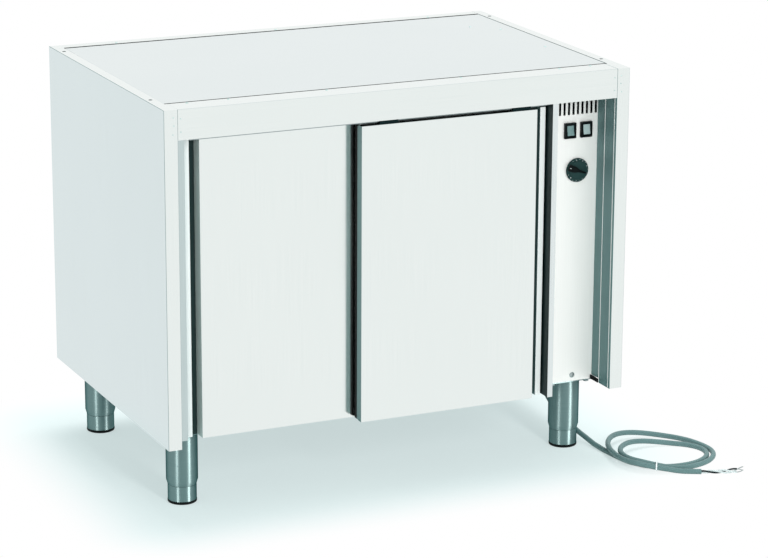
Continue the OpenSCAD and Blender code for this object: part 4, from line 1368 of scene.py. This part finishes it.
@dataclass
class Controls:
    """Dial, rocker switches and panel screw in the control bay; sizes in millimetres."""

    looks: Finishes
    dial_x: float = 427.0
    dial_z: float = 603.0
    panel_y: float = -255.0
    dial_off: float = 0.5
    dial_d: float = 50.0
    rest_turn: float = -20.0
    switch_z: float = 687.0
    switch_edge: float = 0.7
    rocker_edge: float = 0.6
    screw_edge: float = 0.25
    rocker_tilt: float = 8.0
    lens_x: Pair = (-6.0, 9.2)
    lens_z: Pair = (-10.8, 9.4)
    lens_rims: Pair = (-3.2, -1.5)
    lens_middles: Pair = (-2.3, -0.8)
    bar_half: tuple[Pair, ...] = ((19.6, 0), (18.8, 1.3), (0, 2.9), (-8, 6.2), (-21.6, 7.2), (-23.4, 4.6))
    bar_heights: Pair = (4.0, 11.0)
    pointer_x: Pair = (-22.2, -19.6)
    pointer_y: Pair = (-0.5, 0.5)
    pointer_heights: Pair = (10.9, 11.1)
    spindle: tuple[Pair, ...] = ((0, -17.5), (2.6, -17.5), (3, -17.1), (3, 1), (0, 1))
    mark_in: Pair = (2.6, 1.3)
    mark_y: Pair = (-0.28, 0.28)
    mark_heights: Pair = (4.7, 5.2)
    figure_size: float = 3.6
    figure_in: float = 4.1
    figure_height: float = 5.35
    figure_thick: float = 0.1

    def build(self) -> None:
        """Makes the dial and dresses the switches and the screw."""
        looks = self.looks
        for side, face in (("left", looks.rocker_dark), ("right", looks.rocker_pale)):
            rounded_copy(side + "_switch", looks.black, self.switch_edge)
            rounded_copy(side + "_rocker", looks.black, self.rocker_edge)
            self.lens(side + "_rocker", face)
        rounded_copy("panel_screw", looks.turned, self.screw_edge)
        self.dial()

    def lens(self, node: str, face: Material) -> None:
        """Makes the lens let into a rocker's dished face.

        Args:
            node: Name of the rocker's CAD node.
            face: Finish of the lens.
        """
        low, high = box_mm(node)
        pivot = Matrix.Translation(Vector(((low.x + high.x) / 2, self.panel_y, self.switch_z)) * MM)
        tip = Matrix.Rotation(math.radians(-self.rocker_tilt), 4, "X")
        upright = Matrix.Rotation(QUARTER_TURN, 4, "Z") @ Matrix.Rotation(QUARTER_TURN, 4, "X")
        foot, head = self.lens_z
        (rim, back), (dish, core) = self.lens_rims, self.lens_middles
        outline = [(rim, foot), (dish, 0), (rim, head), (back, head), (core, 0), (back, foot)]
        place = pivot @ tip @ upright
        settle(prism(node + "_lens", outline, self.lens_x, face, place, round_mm=0.15), node)

    def dial(self) -> None:
        """Makes the dial: skirt with marks, raised middle, grip bar and spindle."""
        looks = self.looks
        middle = Vector((self.dial_x, self.panel_y - self.dial_off, self.dial_z)) * MM
        place = Matrix.Translation(middle) @ Matrix.Rotation(QUARTER_TURN, 4, "X")
        tilt = place @ Matrix.Rotation(math.radians(self.rest_turn), 4, "Z")
        r = self.dial_d / 2
        skirt = [
            (0, 0), (r - 0.6, 0), (r, 0.7), (r, 3.2), (r - 0.4, 4.3),
            (r - 1.2, 5.0), (r - 4.6, 5.3), (r - 5.0, 6.2), (r - 5.8, 6.9), (0, 7.0),
        ]
        bar = [(x, -y) for x, y in reversed(self.bar_half[1:])] + list(self.bar_half)
        pointer = rectangle(self.pointer_x, self.pointer_y)
        parts = [
            lathe("dial_skirt", skirt, looks.charcoal, place, steps=96),
            prism("dial_bar", bar, self.bar_heights, looks.black, tilt, round_mm=0.8),
            prism("dial_pointer", pointer, self.pointer_heights, looks.ink, tilt),
            lathe("dial_spindle", self.spindle, looks.turned, place),
        ]
        parts += [self.mark(tilt, angle) for angle in range(40, 321, 20)]
        parts += [self.figure(tilt, str(n), 60 + 40 * n) for n in range(7)]
        settle(joined(parts, "thermostat_dial"), "knob", ["knob"])

    def mark(self, place: Matrix, angle: float) -> Piece:
        """Makes one printed line on the skirt.

        Args:
            place: Matrix of the dial's own plane.
            angle: Degrees round from the pointer's far side.

        Returns:
            The line.
        """
        r = self.dial_d / 2
        turned = place @ Matrix.Rotation(math.radians(180 + angle), 4, "Z")
        outline = rectangle((r - self.mark_in[0], r - self.mark_in[1]), self.mark_y)
        return prism(f"dial_mark_{angle}", outline, self.mark_heights, self.looks.ink, turned)

    def figure(self, place: Matrix, text: str, angle: float) -> Piece:
        """Makes one printed figure on the skirt.

        Args:
            place: Matrix of the dial's own plane.
            text: Figure to print.
            angle: Degrees round from the pointer's far side.

        Returns:
            The figure.
        """
        font = bpy.data.curves.new("dial_figure", "FONT")
        font.body = text
        font.size = self.figure_size * MM
        font.align_x = "CENTER"
        font.align_y = "CENTER"
        font.extrude = self.figure_thick * MM
        mesh = evaluated_mesh(link_object("dial_figure", font, self.looks.ink))
        turn = math.radians(180 + angle)
        spot = on_circle(self.dial_d / 2 - self.figure_in, turn / math.tau)
        out = Matrix.Translation(Vector((*spot, self.figure_height)) * MM)
        mesh.transform(place @ out @ Matrix.Rotation(turn - QUARTER_TURN, 4, "Z"))
        return link_object("dial_figure_" + text, mesh, self.looks.ink)


def shown_rays(tree: Tree) -> Socket:
    """Tells rays that reach the eye, straight or mirrored, from rays that only carry light.

    Args:
        tree: Node tree of the studio.

    Returns:
        One for a ray that reaches the eye, or else nought.
    """
    path = add_node(tree, "ShaderNodeLightPath").outputs
    seen = add_node(
        tree,
        "ShaderNodeMath",
        {0: path["Is Camera Ray"], 1: path["Is Glossy Ray"]},
        operation="MAXIMUM",
    )
    shown = add_node(
        tree,
        "ShaderNodeMath",
        {0: seen.outputs[0], 1: path["Is Transmission Ray"]},
        operation="MAXIMUM",
    )
    return shown.outputs[0]


@dataclass
class Studio:
    """Pale floor, soft lamps and a white surround; sizes in metres."""

    floor_size: float = 40.0
    paper: str = "#F4FAFA"
    warm: str = "#FFE8E6"
    sky: str = "#E2F5F5"
    surround: float = 0.6
    footprint: Triple = (0.5, 0.335, 0.0)
    shadow_tint: str = "#F1FFFF"
    shadow_least: float = 0.55
    shadow_reach: Pair = (0.0, 0.2)
    aim: Triple = (0.0, 0.0, 0.4)

    def build(self, tubes: Sequence[Piece], doors: Sequence[Piece]) -> None:
        """Makes the floor, the lamps and the world.

        Args:
            tubes: Legs and feet, which the narrow strip lamps pick out.
            doors: Door skins, whose grooves take a lamp of their own.
        """
        bpy.context.scene.view_settings.view_transform = "Standard"
        self.floor()
        self.world()
        self.lamp("top_lamp", (0.7, 1.1, 4.6), (3.0, 3.0), 170.0)
        self.lamp("front_lamp", (0.1, -5.2, 2.2), (0.7, 2.6), 132.0)
        self.lamp("right_strip_lamp", (2.6, -4.9, 1.1), (1.0, 1.8), 300.0, tubes)
        self.lamp("left_strip_lamp", (-4.6, -3.2, 1.1), (0.7, 1.8), 150.0, tubes)
        self.lamp("groove_lamp", (-3.2, -4.4, 1.6), (1.2, 1.2), 90.0, doors)

    def floor(self) -> None:
        """Makes the floor: white, keeping the object's soft shadow."""
        side = (-self.floor_size / 2, self.floor_size / 2)
        mesh = bpy.data.meshes.new("studio_floor")
        mesh.from_pydata([(x, y, 0) for x, y in rectangle(side, side)], [], [(0, 1, 2, 3)])
        material, tree = blank_material("studio_floor_paper")
        lit = add_node(tree, "ShaderNodeBsdfDiffuse", {"Color": linear(self.paper)})
        place = add_node(tree, "ShaderNodeTexCoord").outputs["Object"]
        mirrored = add_node(tree, "ShaderNodeVectorMath", {0: place}, operation="ABSOLUTE").outputs[0]
        beyond = add_node(
            tree, "ShaderNodeVectorMath", {0: mirrored, 1: self.footprint}, operation="SUBTRACT"
        ).outputs[0]
        outside = add_node(
            tree, "ShaderNodeVectorMath", {0: beyond, 1: (0, 0, 0)}, operation="MAXIMUM"
        ).outputs[0]
        away = add_node(tree, "ShaderNodeVectorMath", {0: outside}, operation="LENGTH").outputs["Value"]
        near, far = self.shadow_reach
        fade = add_node(
            tree,
            "ShaderNodeMapRange",
            {"Value": away, "From Min": near, "From Max": far},
            interpolation_type="SMOOTHSTEP",
        ).outputs[0]
        tint = add_node(
            tree,
            "ShaderNodeMix",
            {0: fade, 6: linear(self.shadow_tint), 7: linear(WHITE)},
            data_type="RGBA",
        ).outputs[2]
        glow = add_node(tree, "ShaderNodeEmission", {"Color": tint, "Strength": 1.0})
        rise = add_node(
            tree,
            "ShaderNodeMath",
            {0: fade, 1: 1 - self.shadow_least, 2: self.shadow_least},
            operation="MULTIPLY_ADD",
        ).outputs[0]
        share = add_node(
            tree, "ShaderNodeMath", {0: shown_rays(tree), 1: rise}, operation="MULTIPLY"
        ).outputs[0]
        mixed = add_node(
            tree, "ShaderNodeMixShader", {0: share, 1: lit.outputs[0], 2: glow.outputs[0]}
        )
        add_node(tree, "ShaderNodeOutputMaterial", {"Surface": mixed.outputs[0]})
        link_object("studio_floor", mesh, material)

    def world(self) -> None:
        """Makes the surround: white to the eye and in reflections, softer as light."""
        world = bpy.data.worlds.new("studio_surround")
        bpy.context.scene.world = world
        world.use_nodes = True
        tree = world.node_tree
        tree.nodes.clear()
        soft = add_node(
            tree, "ShaderNodeBackground", {"Color": linear(self.sky), "Strength": self.surround}
        )
        white = add_node(tree, "ShaderNodeBackground", {"Color": linear(WHITE), "Strength": 1.0})
        mixed = add_node(
            tree,
            "ShaderNodeMixShader",
            {0: shown_rays(tree), 1: soft.outputs[0], 2: white.outputs[0]},
        )
        add_node(tree, "ShaderNodeOutputWorld", {"Surface": mixed.outputs[0]})

    def lamp(
        self, name: str, place: Triple, size: Pair, power: float, only: Sequence[Piece] = ()
    ) -> None:
        """Adds one soft lamp that points at the cupboard.

        Args:
            name: Name of the lamp.
            place: Its position in metres.
            size: Its width and height in metres.
            power: Its power in watts.
            only: Pieces that it lights, or none for every piece.
        """
        data = bpy.data.lights.new(name, "AREA")
        data.shape = "RECTANGLE"
        data.size, data.size_y = size
        data.energy = power
        lamp = bpy.data.objects.new(name, data)
        turn = (Vector(self.aim) - Vector(place)).to_track_quat("-Z", "Y")
        lamp.matrix_world = Matrix.Translation(place) @ turn.to_matrix().to_4x4()
        lamp.visible_camera = False
        lamp.visible_glossy = bool(only)
        bpy.context.scene.collection.objects.link(lamp)
        if only:
            group = bpy.data.collections.new(name + "_pieces")
            data.color = linear(self.warm)[:3]
            for piece in only:
                group.objects.link(piece)
            lamp.light_linking.receiver_collection = group


def main() -> None:
    """Builds the camera, the cord and every dressed piece in order."""
    logging.basicConfig(level=logging.INFO, format="%(message)s")
    PhotoCamera().build()
    looks = Finishes()
    SupplyCord(looks).build()
    sheets = SheetWork(looks)
    doors = sheets.build()
    sheets.plain()
    tubes = Legs(looks).build()
    Controls(looks).build()
    Studio().build(tubes, doors)


if __name__ == "__main__":
    main()
